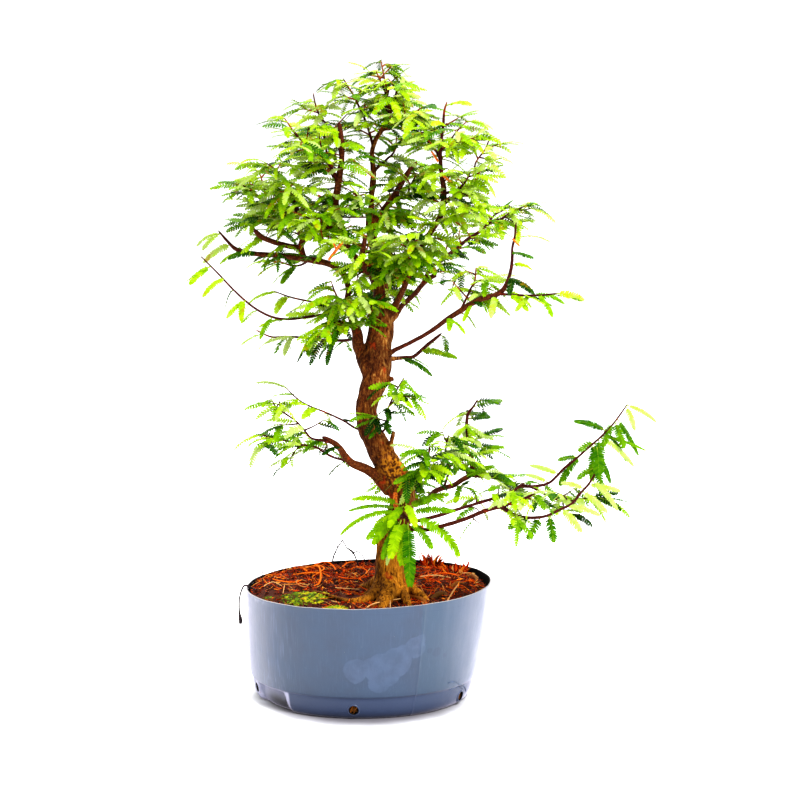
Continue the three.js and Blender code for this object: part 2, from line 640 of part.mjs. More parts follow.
// A closed tapering tube through the points of a route
function tube(route, sides, extra = 0) {
  const points = route.map(([x, y, z]) => new THREE.Vector3(x, y, z));
  const last = points.length - 1;
  const tangents = points.map((_, i) => points[Math.min(i + 1, last)].clone()
    .sub(points[Math.max(i - 1, 0)]).normalize());
  points[0].addScaledVector(tangents[0], -extra);
  points[last].addScaledVector(tangents[last], extra);
  const across = new THREE.Vector3(1, 0, 0.1).cross(tangents[0]).normalize();
  const position = [];
  for (let i = 0; i <= last; i += 1) {
    across.addScaledVector(tangents[i], -across.dot(tangents[i])).normalize();
    const over = tangents[i].clone().cross(across);
    const radius = route[i][3] + extra;
    for (let side = 0; side < sides; side += 1) {
      const angle = (2 * Math.PI * side) / sides;
      const spot = points[i].clone()
        .addScaledVector(across, radius * Math.cos(angle))
        .addScaledVector(over, radius * Math.sin(angle));
      position.push(spot.x, spot.y, spot.z);
    }
  }
  position.push(...points[0].toArray(), ...points[last].toArray());
  const foot = points.length * sides;
  const index = [];
  for (let side = 0; side < sides; side += 1) {
    const next = (side + 1) % sides;
    for (let i = 0; i < last; i += 1) {
      const low = i * sides;
      const high = low + sides;
      index.push(low + side, low + next, high + next, low + side, high + next, high + side);
    }
    index.push(foot, next, side, foot + 1, last * sides + side, last * sides + next);
  }
  const geometry = new THREE.BufferGeometry();
  geometry.setAttribute('position', new THREE.BufferAttribute(new Float32Array(position), 3));
  geometry.setIndex(index);
  return solidOf(geometry);
}

// Turned about the pot's axis, then leaned with the pot
function turned(profile, shift) {
  const outline = profile.map(([radius, height]) => new THREE.Vector2(radius, height));
  const geometry = new THREE.LatheGeometry(outline, POT_SIDES).rotateX(Math.PI / 2);
  const position = geometry.getAttribute('position');
  const spot = new THREE.Vector3();
  for (let i = 0; i < position.count; i += 1) {
    spot.fromBufferAttribute(position, i);
    shift(spot);
    spot.x += (POT_LEAN * spot.z) / POT_HEIGHT;
    position.setXYZ(i, spot.x, spot.y, spot.z);
  }
  return solidOf(geometry);
}

// How deep the lower wall is pressed in at a place, to leave a recess around two of the drain holes
function recessAt(spot) {
  const bearing = THREE.MathUtils.radToDeg(Math.atan2(spot.x, -spot.y));
  const offsets = RECESS_BEARINGS.map((middle) => Math.abs(((bearing - middle + 540) % 360) - 180));
  const offset = Math.min(...offsets);
  const edge = (RECESS_WIDTH + RECESS_EDGE) / 2;
  const across = 1 - THREE.MathUtils.smoothstep(offset, edge - RECESS_EDGE, edge);
  const upwards = 1 - THREE.MathUtils.smoothstep(spot.z, LEDGE_HEIGHT - 3, LEDGE_HEIGHT);
  return RECESS_DEPTH * across * upwards;
}

function makePot() {
  const inside = POT_OUTSIDE.slice(1).reverse().map(([radius, height]) => [radius - WALL, height]);
  const floor = inside.at(-1)[1];
  const profile = [[0, 0], ...POT_OUTSIDE, ...inside, [0, floor]];
  const shell = turned(profile, (spot) => {
    const radius = Math.hypot(spot.x, spot.y);
    if (radius > 1) {
      const pressed = (radius - recessAt(spot)) / radius;
      spot.x *= pressed;
      spot.y *= pressed;
    }
    if (spot.z > POT_HEIGHT - 1) spot.z += RIM_SLOPE * spot.x;
  });
  const bosses = [];
  const holes = [];
  for (let i = 0; i < DRAIN_COUNT; i += 1) {
    const outward = bearingDirection(DRAIN_FIRST_BEARING + (360 / DRAIN_COUNT) * i);
    const spot = outward.clone().multiplyScalar(DRAIN_WALL_RADIUS).setZ(DRAIN_HEIGHT);
    spot.addScaledVector(outward, -recessAt(spot));
    const axis = outward.setZ(-DRAIN_TILT).normalize();
    const turn = new THREE.Quaternion().setFromUnitVectors(new THREE.Vector3(0, 1, 0), axis);
    const place = new THREE.Matrix4().compose(spot, turn, new THREE.Vector3(1, 1, 1));
    const boss = new THREE.CylinderGeometry(BOSS_RADIUS - 1, BOSS_RADIUS, 2 * BOSS_RISE, 10);
    const hole = new THREE.CylinderGeometry(DRAIN_RADIUS, DRAIN_RADIUS, 6 * WALL, 10);
    bosses.push(solidOf(boss.applyMatrix4(place)));
    holes.push(solidOf(hole.applyMatrix4(place)));
  }
  return union([shell, ...bosses]).subtract(union(holes));
}

// The soil keeps clear of the pot's wall all round, and of the recesses low down
function makeSoil() {
  const side = POT_OUTSIDE.slice(1).map(([radius, height]) => {
    const recess = height < LEDGE_HEIGHT ? RECESS_DEPTH : 0;
    return [radius - WALL - SOIL_GAP - recess, height + SOIL_GAP];
  });
  side.pop();
  const profile = [
    [0, side[0][1]], ...side, [POT_OUTSIDE.at(-1)[0] - WALL - SOIL_GAP - 1.5, SOIL_EDGE],
    [94, SOIL_EDGE + 2.5], [70, SOIL_MIDDLE - 1.2], [35, SOIL_MIDDLE], [0, SOIL_MIDDLE],
  ];
  return turned(profile, (spot) => {
    if (spot.z > SOIL_EDGE - 1) {
      spot.z += SOIL_SLOPE * spot.x + SOIL_BUMP * Math.sin(spot.x / 7) * Math.cos(spot.y / 9);
    }
  });
}

// The trunk with its surface roots and stubs, grown all over by an extra
function makeTrunk(extra = 0) {
  const surfaceParts = [...ROOTS, ...CUT_STUBS].map((route) => tube(route, LIMB_SIDES, extra));
  return union([tube(TRUNK, TRUNK_SIDES, extra), ...surfaceParts]);
}

// Numbers between 0 and 1 that come out the same on every run
function numbersFrom(seed) {
  let state = seed;
  const next = () => {
    state = (state * 1664525 + 1013904223) % 4294967296;
    return state / 4294967296;
  };
  next();
  next();
  return next;
}

// The point and the direction at a share of a route's length
function alongRoute(route, share) {
  const points = route.map(([x, y, z]) => new THREE.Vector3(x, y, z));
  const lengths = points.slice(1).map((point, i) => point.distanceTo(points[i]));
  let left = share * lengths.reduce((sum, length) => sum + length, 0);
  let i = 0;
  while (i < lengths.length - 1 && left > lengths[i]) {
    left -= lengths[i];
    i += 1;
  }
  const direction = points[i + 1].clone().sub(points[i]).normalize();
  return { foot: points[i].clone().addScaledVector(direction, left), direction };
}

// Every leaf is a pair of drooping blades on one foot, which leans away from the crown's middle
function leavesOf(branch, seed) {
  if (!branch.leaves) return [];
  const { count, from, to, length, hang } = branch.leaves;
  const random = numbersFrom(seed);
  const leaves = [];
  for (let i = 0; i < count; i += 1) {
    const share = from + ((to - from) * i) / (count - 1);
    const { foot, direction } = alongRoute(branch.route, share);
    const away = Math.atan2(
      (foot.y - CROWN_MIDDLE.y) / CROWN_REACH + direction.y,
      (foot.x - CROWN_MIDDLE.x) / CROWN_REACH + direction.x,
    );
    const turn = random();
    const side = i % 2 ? 1 : -1;
    const heading = away + (i === count - 1 ? 0.7 * (turn - 0.5) : side * (0.5 + 0.6 * turn));
    const spread = 0.35 + 0.3 * random();
    const tips = [-1, 1].map((half) => onBlade({
      foot,
      azimuth: heading + half * spread,
      rise: THREE.MathUtils.lerp(0.42, -1, hang) + 0.5 * (random() - 0.5),
      bend: 0.6 + 0.7 * random(),
      length: length * (0.8 + 0.35 * random()),
    }));
    leaves.push({ foot, tips });
  }
  return leaves;
}

// The middle and the tip of a blade that starts out at its rise and droops evenly by its bend
function onBlade({ foot, azimuth, rise, bend, length }) {
  return [0.5, 1].map((share) => {
    const angle = rise - bend * share;
    const reach = (length * (Math.sin(rise) - Math.sin(angle))) / bend;
    const height = (length * (Math.cos(angle) - Math.cos(rise))) / bend;
    return foot.clone().add(new THREE.Vector3(Math.cos(azimuth) * reach, Math.sin(azimuth) * reach, height));
  });
}

// A leaf as a thin tent: a ridge over the middle of the two blades, and eaves that run from tip to tip.
// A steeply drooping leaf turns the tent inside out, so its corners are then taken the other way round.
function leafSolid({ foot, tips: [[leftMiddle, leftTip], [rightMiddle, rightTip]] }, extra = 0) {
  const ridge = leftMiddle.clone().add(rightMiddle).multiplyScalar(0.5);
  const corners = [foot, leftTip, rightTip, ridge];
  const middle = corners.reduce((sum, corner) => sum.add(corner), new THREE.Vector3()).multiplyScalar(0.25);
  const grown = corners.map((corner) => corner.clone()
    .add(corner.clone().sub(middle).setLength(extra)));
  grown[3].z += LEAF_THICKNESS + extra;
  const geometry = new THREE.BufferGeometry().setFromPoints(grown);
  geometry.setIndex([0, 1, 2, 0, 3, 1, 1, 3, 2, 2, 3, 0]);
  const solid = solidOf(geometry);
  return solid.volume() > 0 ? solid : solidOf(geometry.setIndex([0, 2, 1, 0, 1, 3, 1, 2, 3, 2, 0, 3]));
}

function makeStalk(route, extra = 0) {
  return tube(route, TWIG_SIDES, extra);
}

function makeMoss({ at, radii }) {
  const pad = new THREE.SphereGeometry(1, 10, 6).rotateX(Math.PI / 2).scale(...radii).translate(...at);
  return solidOf(pad);
}

function makeCoir({ at: [x, y, z], radius, height }) {
  const tuft = new THREE.CylinderGeometry(radius * 0.45, radius, height, 8).rotateX(Math.PI / 2);
  return solidOf(tuft.translate(x, y, z + height / 2));
}

const trunk = makeTrunk();
const trunkClear = makeTrunk(CLEARANCE);
const bareSoil = makeSoil();
const soil = largestPiece(bareSoil.subtract(trunkClear));
const soilClear = bareSoil.translate([0, 0, CLEARANCE]);
const pot = makePot();

const root = new THREE.Group();
root.add(meshOf('pot', pot, COLOURS.pot, 0.5));
root.add(meshOf('soil', soil, COLOURS.soil, 0.95));
root.add(meshOf('trunk', trunk, COLOURS.bark, 0.8));

// What lies on the soil comes next, each piece clear of all the ones before it
const taken = [pot, soilClear, trunkClear];
for (const [name, shape] of Object.entries(MOSS)) {
  const pad = largestPiece(cutBy(makeMoss(shape), taken));
  root.add(meshOf(name, pad, COLOURS.moss, 0.9));
  taken.push(pad);
}
for (const [name, shape] of Object.entries(COIR)) {
  const tuft = largestPiece(cutBy(makeCoir(shape), taken));
  root.add(meshOf(name, tuft, COLOURS.coir, 0.9));
  taken.push(tuft);
}
for (const [name, route] of Object.entries(STALKS)) {
  const stalk = largestPiece(cutBy(makeStalk(route), taken));
  root.add(meshOf(name, stalk, COLOURS.stalk, 0.8));
  taken.push(makeStalk(route, CLEARANCE));
}

// All the wood first: a branch gives way to the trunk and to the branches before it
const names = [...new Set(BRANCHES.map((branch) => branch.node))];
const wood = new Map();
const woodClear = [trunkClear];
for (const name of names) {
  const stems = BRANCHES.filter((branch) => branch.node === name);
  const sides = stems[0].route[0][3] > LIMB_RADIUS ? LIMB_SIDES : TWIG_SIDES;
  const whole = union(stems.map((stem) => tube(stem.route, sides)));
  wood.set(name, largestPiece(cutBy(whole, woodClear)));
  woodClear.push(union(stems.map((stem) => tube(stem.route, sides, CLEARANCE))));
}

// Then the leaves: one that would touch another piece is left out
const leafy = new Map();
for (const name of names) {
  const others = [...taken, trunk];
  for (const [other, solid] of wood) if (other !== name) others.push(leafy.get(other) ?? solid);
  const leaves = BRANCHES.flatMap((branch, i) => (branch.node === name ? leavesOf(branch, i + 1) : []))
    .filter((leaf) => !touches(leafSolid(leaf, CLEARANCE), others))
    .map((leaf) => leafSolid(leaf));
  leafy.set(name, largestPiece(union([wood.get(name), ...leaves])));
  const isShoot = name.startsWith('shoot');
  root.add(meshOf(name, leafy.get(name), isShoot ? COLOURS.leaf : COLOURS.twig, 0.7));
}

export default root;
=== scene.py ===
"""A calliandra pre-bonsai in its cut-down nursery pot: surfaces, wood and leaves, built around the parts.

Lists and named lengths are in millimetres, as in the part's own source, and MM turns them into metres.
"""
import math
import random

import bpy
from mathutils import Matrix, Vector, noise


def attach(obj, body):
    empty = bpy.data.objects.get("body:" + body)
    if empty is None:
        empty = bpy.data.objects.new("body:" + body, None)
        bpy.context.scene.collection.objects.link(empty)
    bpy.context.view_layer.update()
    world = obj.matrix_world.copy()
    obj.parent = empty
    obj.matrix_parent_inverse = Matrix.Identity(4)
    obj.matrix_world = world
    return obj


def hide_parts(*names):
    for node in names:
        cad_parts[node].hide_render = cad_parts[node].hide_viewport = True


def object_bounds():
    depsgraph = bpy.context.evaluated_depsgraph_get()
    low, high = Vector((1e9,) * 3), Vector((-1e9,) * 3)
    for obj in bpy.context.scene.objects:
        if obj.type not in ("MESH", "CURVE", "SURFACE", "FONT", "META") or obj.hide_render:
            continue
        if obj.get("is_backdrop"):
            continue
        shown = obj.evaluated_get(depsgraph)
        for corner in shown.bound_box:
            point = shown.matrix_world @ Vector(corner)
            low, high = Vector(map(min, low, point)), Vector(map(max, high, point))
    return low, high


bl_info = {
    "name": "Calliandra pre-bonsai",
    "version": (1, 0, 0),
    "blender": (4, 5, 0),
    "location": "3D View > Sidebar > Bonsai",
    "description": "Builds a calliandra pre-bonsai, with its pot and soil, around its packed parts",
    "category": "Add Mesh",
}

MM = 0.001
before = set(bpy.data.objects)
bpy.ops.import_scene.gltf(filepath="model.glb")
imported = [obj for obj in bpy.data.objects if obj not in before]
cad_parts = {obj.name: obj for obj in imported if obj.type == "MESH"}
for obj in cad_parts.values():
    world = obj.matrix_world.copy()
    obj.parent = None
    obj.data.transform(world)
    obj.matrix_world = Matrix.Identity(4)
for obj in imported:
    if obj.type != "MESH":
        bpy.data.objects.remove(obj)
CAD_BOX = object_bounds()
UP = Vector((0, 0, 1))
GOLDEN_ANGLE = math.radians(137.5)
# The values that each point of a line of wood, of root or fibre, and of leaf blade carries
WOOD_KINDS = {"thick": "FLOAT"}
ROOT_KINDS = {"thick": "FLOAT", "tone": "FLOAT"}
BLADE_KINDS = {"thick": "FLOAT", "tone": "FLOAT", "up": "FLOAT_VECTOR", "fold": "FLOAT", "broad": "FLOAT"}


# Lists of the plant's routes

# The trunk from the soil up: x, y, z and the radius there
TRUNK = [
    (23, -40, 83, 19), (23, -40, 98, 18.5), (23, -40, 110, 16.5), (23, -40, 122, 14.8), (23, -39, 139, 14),
    (26, -37, 155, 13), (30, -34, 169, 12.3), (33, -31, 181, 11.8), (32, -29, 192, 12.8),
    (28, -28, 201, 13.6), (23, -28, 210, 12.6), (18, -29, 219, 12), (13, -30, 228, 12), (9, -31, 237, 11.2),
    (4, -31, 246, 10.4), (2, -30, 256, 10), (1, -28, 265, 10), (3, -26, 274, 10.6), (6, -24, 282, 11.8),
    (9, -21, 290, 12.4), (11, -18, 300, 13), (11, -15, 310, 13), (12, -12, 321, 12.4), (14, -9, 331, 12),
    (14, -6, 342, 11.2), (13, -4, 352, 9.6), (14, -2, 364, 7.6), (14, 0, 377, 6.8), (12, 2, 389, 6.2),
    (10, 4, 401, 5.6), (6, 6, 414, 5), (4, 7, 428, 4.2), (5, 8, 440, 3.4), (6, 8, 452, 3), (7, 8, 465, 2.9),
    (7, 8, 476, 2.7), (6, 9, 487, 2.6), (8, 9, 498, 2.5), (13, 9, 507, 2.7), (19, 10, 517, 2.7),
    (21, 11, 529, 2.3),
]

# Every limb and shoot: its node, its leaves and its route. The leaves are how many, from which share of the
# length to which, how long a blade is, and how far it hangs, from 0, level, to 1, straight down.
STEMS = [
    ("limb_left_low", (3, 0.62, 0.98, 26, 0.5), [
        (23, -28, 197, 7), (15, -32, 202, 5.5), (5, -38, 210, 4.6), (-3, -44, 215, 4.2),
        (-11, -49, 219, 3.6), (-17, -53, 226, 3.2), (-23, -56, 235, 2.8), (-29, -59, 240, 2.5),
        (-36, -62, 244, 2.2),
    ]),
    ("limb_left_upper", (9, 0.5, 0.99, 27, 0.35), [
        (7, -17, 300, 7.5), (0, -14, 308, 6.4), (-6, -12, 319, 5.6), (-7, -10, 330, 4.8),
        (-12, -6, 343, 3.4), (-16, -2, 357, 2.8), (-15, 2, 369, 2.7), (-20, 6, 382, 2.8),
        (-32, 10, 390, 2.9), (-46, 14, 393, 3), (-59, 17, 395, 2.9), (-77, 21, 397, 2.5),
        (-96, 24, 398, 2.3), (-110, 26, 400, 2.2), (-118, 27, 403, 1.8), (-125, 28, 410, 1.4),
        (-132, 29, 418, 1),
    ]),
    ("limb_left_crown", (9, 0.4, 0.99, 29, 0.12), [
        (-55, 16, 393, 3.2), (-58, 14, 405, 3), (-56, 11, 413, 2.8), (-59, 8, 421, 2.7), (-64, 4, 428, 2.4),
        (-70, 0, 435, 2.2), (-77, -4, 439, 1.9), (-84, -8, 444, 1.7), (-91, -12, 449, 1.5),
        (-98, -17, 455, 1.3), (-108, -22, 462, 1.1),
    ]),
    ("limb_left_crown", (2, 0.3, 0.7, 25, 0.6), [
        (-58, 14, 405, 2.5), (-66, 8, 406, 2.5), (-76, 2, 409, 2.4), (-84, -4, 412, 2.4),
        (-90, -9, 415, 2.4), (-95, -13, 419, 2.3), (-97, -16, 422, 2.2),
    ]),
    ("limb_upper_left", (9, 0.35, 0.95, 30, 0.2), [
        (10, 2, 391, 4.2), (1, -2, 391, 3.6), (-7, -6, 395, 3.3), (-13, -11, 403, 3.1), (-18, -16, 415, 3),
        (-23, -20, 430, 3.2), (-26, -24, 445, 3.4), (-24, -27, 458, 3.2), (-22, -29, 471, 3),
        (-20, -31, 484, 2.5), (-20, -32, 500, 2.4), (-22, -33, 516, 2.3),
    ]),
    ("limb_upper_left", (3, 0.3, 0.9, 29, 0.25), [
        (-17, -14, 411, 2.3), (-21, -20, 416, 2.2), (-25, -25, 423, 2.1), (-30, -30, 426, 2),
        (-34, -35, 427, 1.9),
    ]),
    ("limb_upper_right", (6, 0.3, 0.98, 29, 0.15), [
        (5, 6, 419, 3.4), (10, 11, 430, 3.2), (18, 17, 440, 3.2), (25, 23, 449, 3.1), (31, 29, 459, 2.6),
        (35, 33, 466, 2.5), (40, 37, 473, 2.3), (45, 40, 479, 2.1),
    ]),
    ("limb_right_crown", (15, 0.4, 0.99, 29, 0.15), [
        (18, -6, 345, 3.4), (26, -12, 354, 3), (30, -18, 362, 2.8), (34, -23, 371, 2.7),
        (38, -28, 381, 2.6), (42, -33, 393, 2.5), (47, -38, 404, 2.4), (53, -43, 415, 2.4),
        (60, -47, 426, 2.5), (66, -50, 436, 2.6), (68, -52, 445, 2.7), (69, -54, 459, 2.5),
        (67, -55, 472, 2), (66, -56, 484, 1.7), (66, -57, 496, 1.5), (68, -58, 513, 1.2), (69, -59, 527, 1),
        (71, -60, 534, 0.9),
    ]),
    ("limb_right_upper", None, [
        (19, -4, 340, 2.9), (27, 4, 345, 2.6), (32, 10, 352, 2.4), (38, 16, 357, 2.4), (45, 22, 363, 2.3),
        (50, 28, 369, 2.3), (57, 34, 375, 2.3), (63, 38, 378, 2.2),
    ]),
    ("limb_right_upper", (11, 0.3, 0.98, 30, 0.12), [
        (48, 26, 366, 1.8), (53, 31, 374, 1.7), (57, 36, 382, 1.7), (63, 41, 388, 1.8), (68, 45, 390, 1.8),
        (74, 49, 395, 1.8), (83, 53, 401, 1.7), (91, 57, 408, 1.6), (99, 60, 413, 1.5), (107, 63, 418, 1.4),
        (112, 66, 424, 1.1), (118, 69, 431, 1), (126, 72, 435, 0.9),
    ]),
    ("limb_right_mid", (11, 0.4, 0.99, 28, 0.35), [
        (15, -15, 307, 2.6), (24, -22, 315, 2.1), (33, -27, 320, 1.9), (42, -32, 325, 1.8),
        (52, -37, 331, 1.9), (62, -42, 338, 2), (72, -47, 346, 2.2), (82, -51, 353, 2.4),
        (92, -55, 360, 2.5), (102, -58, 365, 2.5), (112, -61, 368, 2.4), (120, -63, 373, 2.2),
        (124, -64, 381, 1.7), (127, -65, 391, 1.5), (128, -66, 402, 1.3), (128, -66, 410, 1.1),
        (130, -67, 420, 1), (131, -67, 431, 0.8),
    ]),
    ("limb_right_second", (5, 0.3, 0.99, 30, 0.6), [
        (15, -10, 306, 2.3), (25, 2, 306, 2), (35, 10, 306, 1.8), (43, 16, 306, 1.7), (50, 21, 311, 1.7),
        (56, 25, 316, 1.6), (63, 29, 321, 1.5), (68, 32, 325, 1.3),
    ]),
    ("limb_low_right_a", (3, 0.7, 0.99, 27, 0.6), [
        (29, -40, 160, 2.6), (42, -52, 161, 2.2), (54, -62, 162, 1.9), (67, -72, 167, 1.8),
        (81, -82, 173, 1.8), (93, -90, 179, 1.8), (104, -97, 185, 1.8), (117, -104, 190, 1.7),
        (127, -109, 194, 1.5), (136, -113, 198, 1.3), (145, -117, 203, 1.1),
    ]),
    ("limb_low_right_b", (7, 0.62, 0.99, 30, 0.2), [
        (31, -34, 166, 2.3), (42, -30, 164, 2), (53, -26, 165, 1.8), (67, -22, 168, 1.7),
        (78, -18, 171, 1.6), (90, -14, 174, 1.5), (102, -10, 177, 1.5), (114, -6, 180, 1.5),
        (125, -2, 183, 1.4), (135, 2, 187, 1.4), (142, 5, 192, 1.3),
    ]),
    ("limb_low_right_c", (14, 0.5, 0.99, 29, 0.2), [
        (35, -29, 182, 3.6), (44, -18, 179, 3.1), (53, -8, 178, 2.8), (59, -1, 182, 2.6), (63, 5, 185, 2.5),
        (71, 12, 187, 2.4), (80, 20, 188, 2.4), (88, 27, 192, 2.4), (96, 33, 196, 2.5), (97, 36, 204, 2.2),
        (96, 38, 212, 2), (91, 40, 220, 1.8), (93, 42, 230, 1.8), (92, 44, 237, 1.8), (93, 46, 249, 1.4),
        (98, 48, 256, 1.1), (102, 50, 262, 0.9),
    ]),
    ("limb_back_low", (7, 0.4, 0.99, 28, 0.25), [
        (29, -28, 180, 3.4), (31, -10, 181, 3), (33, 8, 184, 2.6), (35, 26, 186, 2.3), (35, 44, 189, 1.9),
        (33, 60, 192, 1.5),
    ]),
    ("limb_back_high", (11, 0.3, 0.99, 29, 0.2), [
        (13, -2, 354, 3.2), (16, 14, 358, 2.8), (18, 30, 363, 2.5), (20, 46, 369, 2.3), (22, 62, 377, 2),
        (23, 76, 385, 1.8), (22, 88, 394, 1.4),
    ]),
    ("limb_front_high", (8, 0.35, 0.92, 30, 0.15), [
        (11, 0, 373, 3.1), (6, -16, 381, 2.7), (1, -32, 388, 2.5), (-2, -48, 396, 2.4), (-2, -62, 405, 2.3),
        (0, -74, 413, 2.2), (1, -84, 421, 2.1),
    ]),
    ("shoot_left_far", (9, 0.2, 0.93, 27, 0.55), [
        (-14, -4, 348, 1.6), (-23, -10, 348, 1.5), (-32, -16, 348, 1.4), (-52, -26, 346, 1.3),
        (-68, -34, 345, 1.2), (-82, -41, 348, 1.1), (-97, -48, 357, 1), (-112, -55, 371, 0.9),
        (-127, -62, 388, 0.8), (-140, -68, 402, 0.7),
    ]),
    ("shoot_left_mid", (9, 0.12, 0.93, 26, 0.6), [
        (-7, -10, 326, 1.5), (-17, -2, 323, 1.4), (-31, 6, 322, 1.3), (-46, 14, 322, 1.2),
        (-60, 22, 323, 1.1), (-73, 29, 323, 1), (-86, 35, 322, 0.9), (-99, 41, 327, 0.8),
    ]),
    ("shoot_left_small", (5, 0.3, 0.98, 28, 0.45), [
        (-16, -3, 354, 1.3), (-26, 4, 347, 1.2), (-36, 12, 348, 1.1), (-43, 17, 352, 1), (-48, 21, 355, 1),
        (-60, 27, 357, 0.9), (-70, 32, 359, 0.8), (-82, 37, 363, 0.7),
    ]),
    ("shoot_left_under", (6, 0.15, 0.99, 30, 0.4), [
        (-51, 15, 393, 1.2), (-59, 26, 388, 1), (-68, 36, 387, 0.9), (-77, 46, 389, 0.8),
        (-86, 56, 389, 0.7),
    ]),
    ("shoot_crown_left_a", (7, 0.25, 0.99, 31, 0.12), [
        (-67, 2, 431, 1.4), (-75, 14, 428, 1.2), (-84, 26, 427, 1.1), (-92, 38, 426, 0.9),
        (-99, 48, 423, 0.8),
    ]),
    ("shoot_crown_left_b", (9, 0.25, 0.99, 30, 0.15), [
        (-57, 10, 415, 1.6), (-60, 18, 426, 1.5), (-61, 26, 438, 1.3), (-61, 34, 448, 1.1),
        (-62, 40, 459, 0.9),
    ]),
    ("shoot_crown_left_c", (10, 0.25, 0.99, 29, 0.15), [
        (-60, 8, 422, 1.6), (-61, -6, 436, 1.5), (-62, -20, 449, 1.3), (-67, -32, 461, 1.1),
        (-75, -42, 474, 0.9), (-84, -50, 482, 0.7),
    ]),
    ("limb_left_crown", (5, 0.2, 0.99, 28, 0.1), [
        (-89, -10, 448, 1.1), (-88, -2, 455, 0.9), (-91, 6, 463, 0.8), (-95, 14, 473, 0.6),
    ]),
    ("shoot_top_left_a", (9, 0.25, 0.98, 29, 0.15), [
        (-23, -27, 465, 1.6), (-28, -38, 476, 1.5), (-35, -48, 487, 1.3), (-46, -58, 496, 1.2),
        (-55, -66, 504, 1.1), (-61, -72, 511, 1), (-65, -76, 514, 0.8),
    ]),
    ("shoot_top_left_b", (8, 0.2, 0.9, 28, 0.12), [
        (-20, -30, 483, 1.5), (-22, -22, 493, 1.3), (-24, -16, 500, 1.2), (-30, -9, 507, 1.1),
        (-35, -2, 516, 1), (-40, 4, 522, 0.9), (-44, 10, 532, 0.8), (-46, 15, 541, 0.6),
    ]),
    ("shoot_top_left_c", (8, 0.2, 0.97, 28, 0.15), [
        (-23, -27, 462, 1.3), (-28, -20, 470, 1.2), (-32, -12, 480, 1.1), (-34, -4, 491, 1),
        (-36, 4, 503, 0.8), (-37, 10, 514, 0.7),
    ]),
    ("shoot_top_mid_left", (8, 0.15, 0.99, 28, 0.12), [
        (7, 9, 495, 1.4), (4, 2, 507, 1.2), (0, -5, 519, 1.1), (-4, -11, 528, 1), (-9, -17, 539, 0.9),
        (-14, -21, 547, 0.8), (-18, -25, 554, 0.7),
    ]),
    ("shoot_leader", (5, 0.1, 0.95, 28, 0.15), [
        (21, 11, 527, 1.9), (20, 11, 534, 1.4), (18, 12, 543, 1.1), (14, 12, 552, 0.9), (10, 12, 561, 0.7),
    ]),
    ("shoot_leader_back", (5, 0.2, 0.99, 27, 0.1), [
        (20, 10, 522, 1.5), (20, 17, 532, 1.1), (19, 22, 544, 0.9), (17, 26, 555, 0.8), (14, 30, 570, 0.6),
    ]),
    ("shoot_top_right_a", (6, 0.4, 0.99, 30, 0.2), [
        (20, 10, 520, 1.5), (24, 2, 530, 1.3), (27, -4, 540, 1.1), (29, -9, 549, 0.9),
    ]),
    ("shoot_top_right_b", (8, 0.25, 0.97, 29, 0.25), [
        (16, 9, 511, 1.9), (23, 0, 512, 1.6), (29, -9, 516, 1.3), (36, -17, 520, 1.1), (42, -24, 524, 0.9),
        (50, -31, 530, 0.7),
    ]),
    ("shoot_top_right_c", (6, 0.3, 0.99, 31, 0.1), [
        (18, 10, 515, 1.7), (25, 18, 516, 1.4), (28, 25, 523, 1.2), (30, 31, 530, 1),
    ]),
    ("shoot_top_right_d", (6, 0.25, 0.97, 28, 0.1), [
        (6, 8, 472, 1.5), (13, 16, 478, 1.3), (20, 23, 484, 1.1), (26, 29, 490, 0.9), (28, 35, 502, 0.7),
    ]),
    ("shoot_crown_right_a", (7, 0.25, 0.97, 28, 0.1), [
        (66, -56, 485, 1.5), (63, -50, 492, 1.3), (57, -43, 498, 1.1), (54, -37, 505, 0.9),
        (53, -31, 516, 0.7),
    ]),
    ("shoot_crown_right_b", (9, 0.25, 0.97, 29, 0.15), [
        (69, -54, 456, 1.5), (76, -46, 458, 1.3), (83, -39, 460, 1.2), (90, -32, 461, 1.1),
        (99, -24, 466, 1), (97, -17, 480, 0.8), (106, -11, 493, 0.7), (111, -6, 505, 0.6),
    ]),
    ("shoot_crown_right_c", (8, 0.3, 0.99, 29, 0.15), [
        (69, -52, 447, 1.5), (76, -62, 453, 1.3), (81, -71, 460, 1.1), (87, -80, 468, 1),
        (91, -88, 476, 0.8),
    ]),
    ("shoot_crown_right_d", (8, 0.2, 0.99, 30, 0.1), [
        (61, -47, 428, 1.5), (69, -56, 433, 1.3), (78, -65, 436, 1.1), (89, -74, 441, 1),
        (96, -82, 445, 0.8),
    ]),
    ("limb_right_crown", (6, 0.15, 0.9, 28, 0.15), [
        (67, -57, 494, 1.1), (72, -66, 499, 1), (78, -74, 501, 0.9), (85, -81, 502, 0.8),
        (96, -88, 506, 0.6),
    ]),
    ("shoot_crown_mid", (9, 0.3, 0.99, 30, 0.12), [
        (27, 24, 451, 1.8), (33, 14, 449, 1.5), (37, 6, 450, 1.2), (40, -1, 460, 1), (45, -7, 470, 0.8),
    ]),
    ("shoot_mid_front", (10, 0.3, 0.99, 30, 0.15), [
        (41, -31, 387, 1.6), (43, -42, 396, 1.4), (41, -54, 406, 1.2), (38, -66, 414, 1.1),
        (38, -78, 423, 0.9),
    ]),
    ("shoot_right_fork", (7, 0.25, 0.9, 29, 0.2), [
        (110, 65, 422, 1.1), (118, 60, 426, 1), (126, 55, 429, 0.9), (134, 50, 435, 0.9),
        (140, 45, 438, 0.8), (146, 41, 442, 0.7),
    ]),
    ("shoot_right_mid", (7, 0.25, 0.99, 29, 0.5), [
        (116, -62, 370, 1.4), (126, -70, 370, 1.1), (141, -79, 370, 1), (154, -86, 371, 0.9),
        (165, -92, 373, 0.7),
    ]),
    ("shoot_right_dark", (7, 0.25, 0.99, 30, 0.45), [
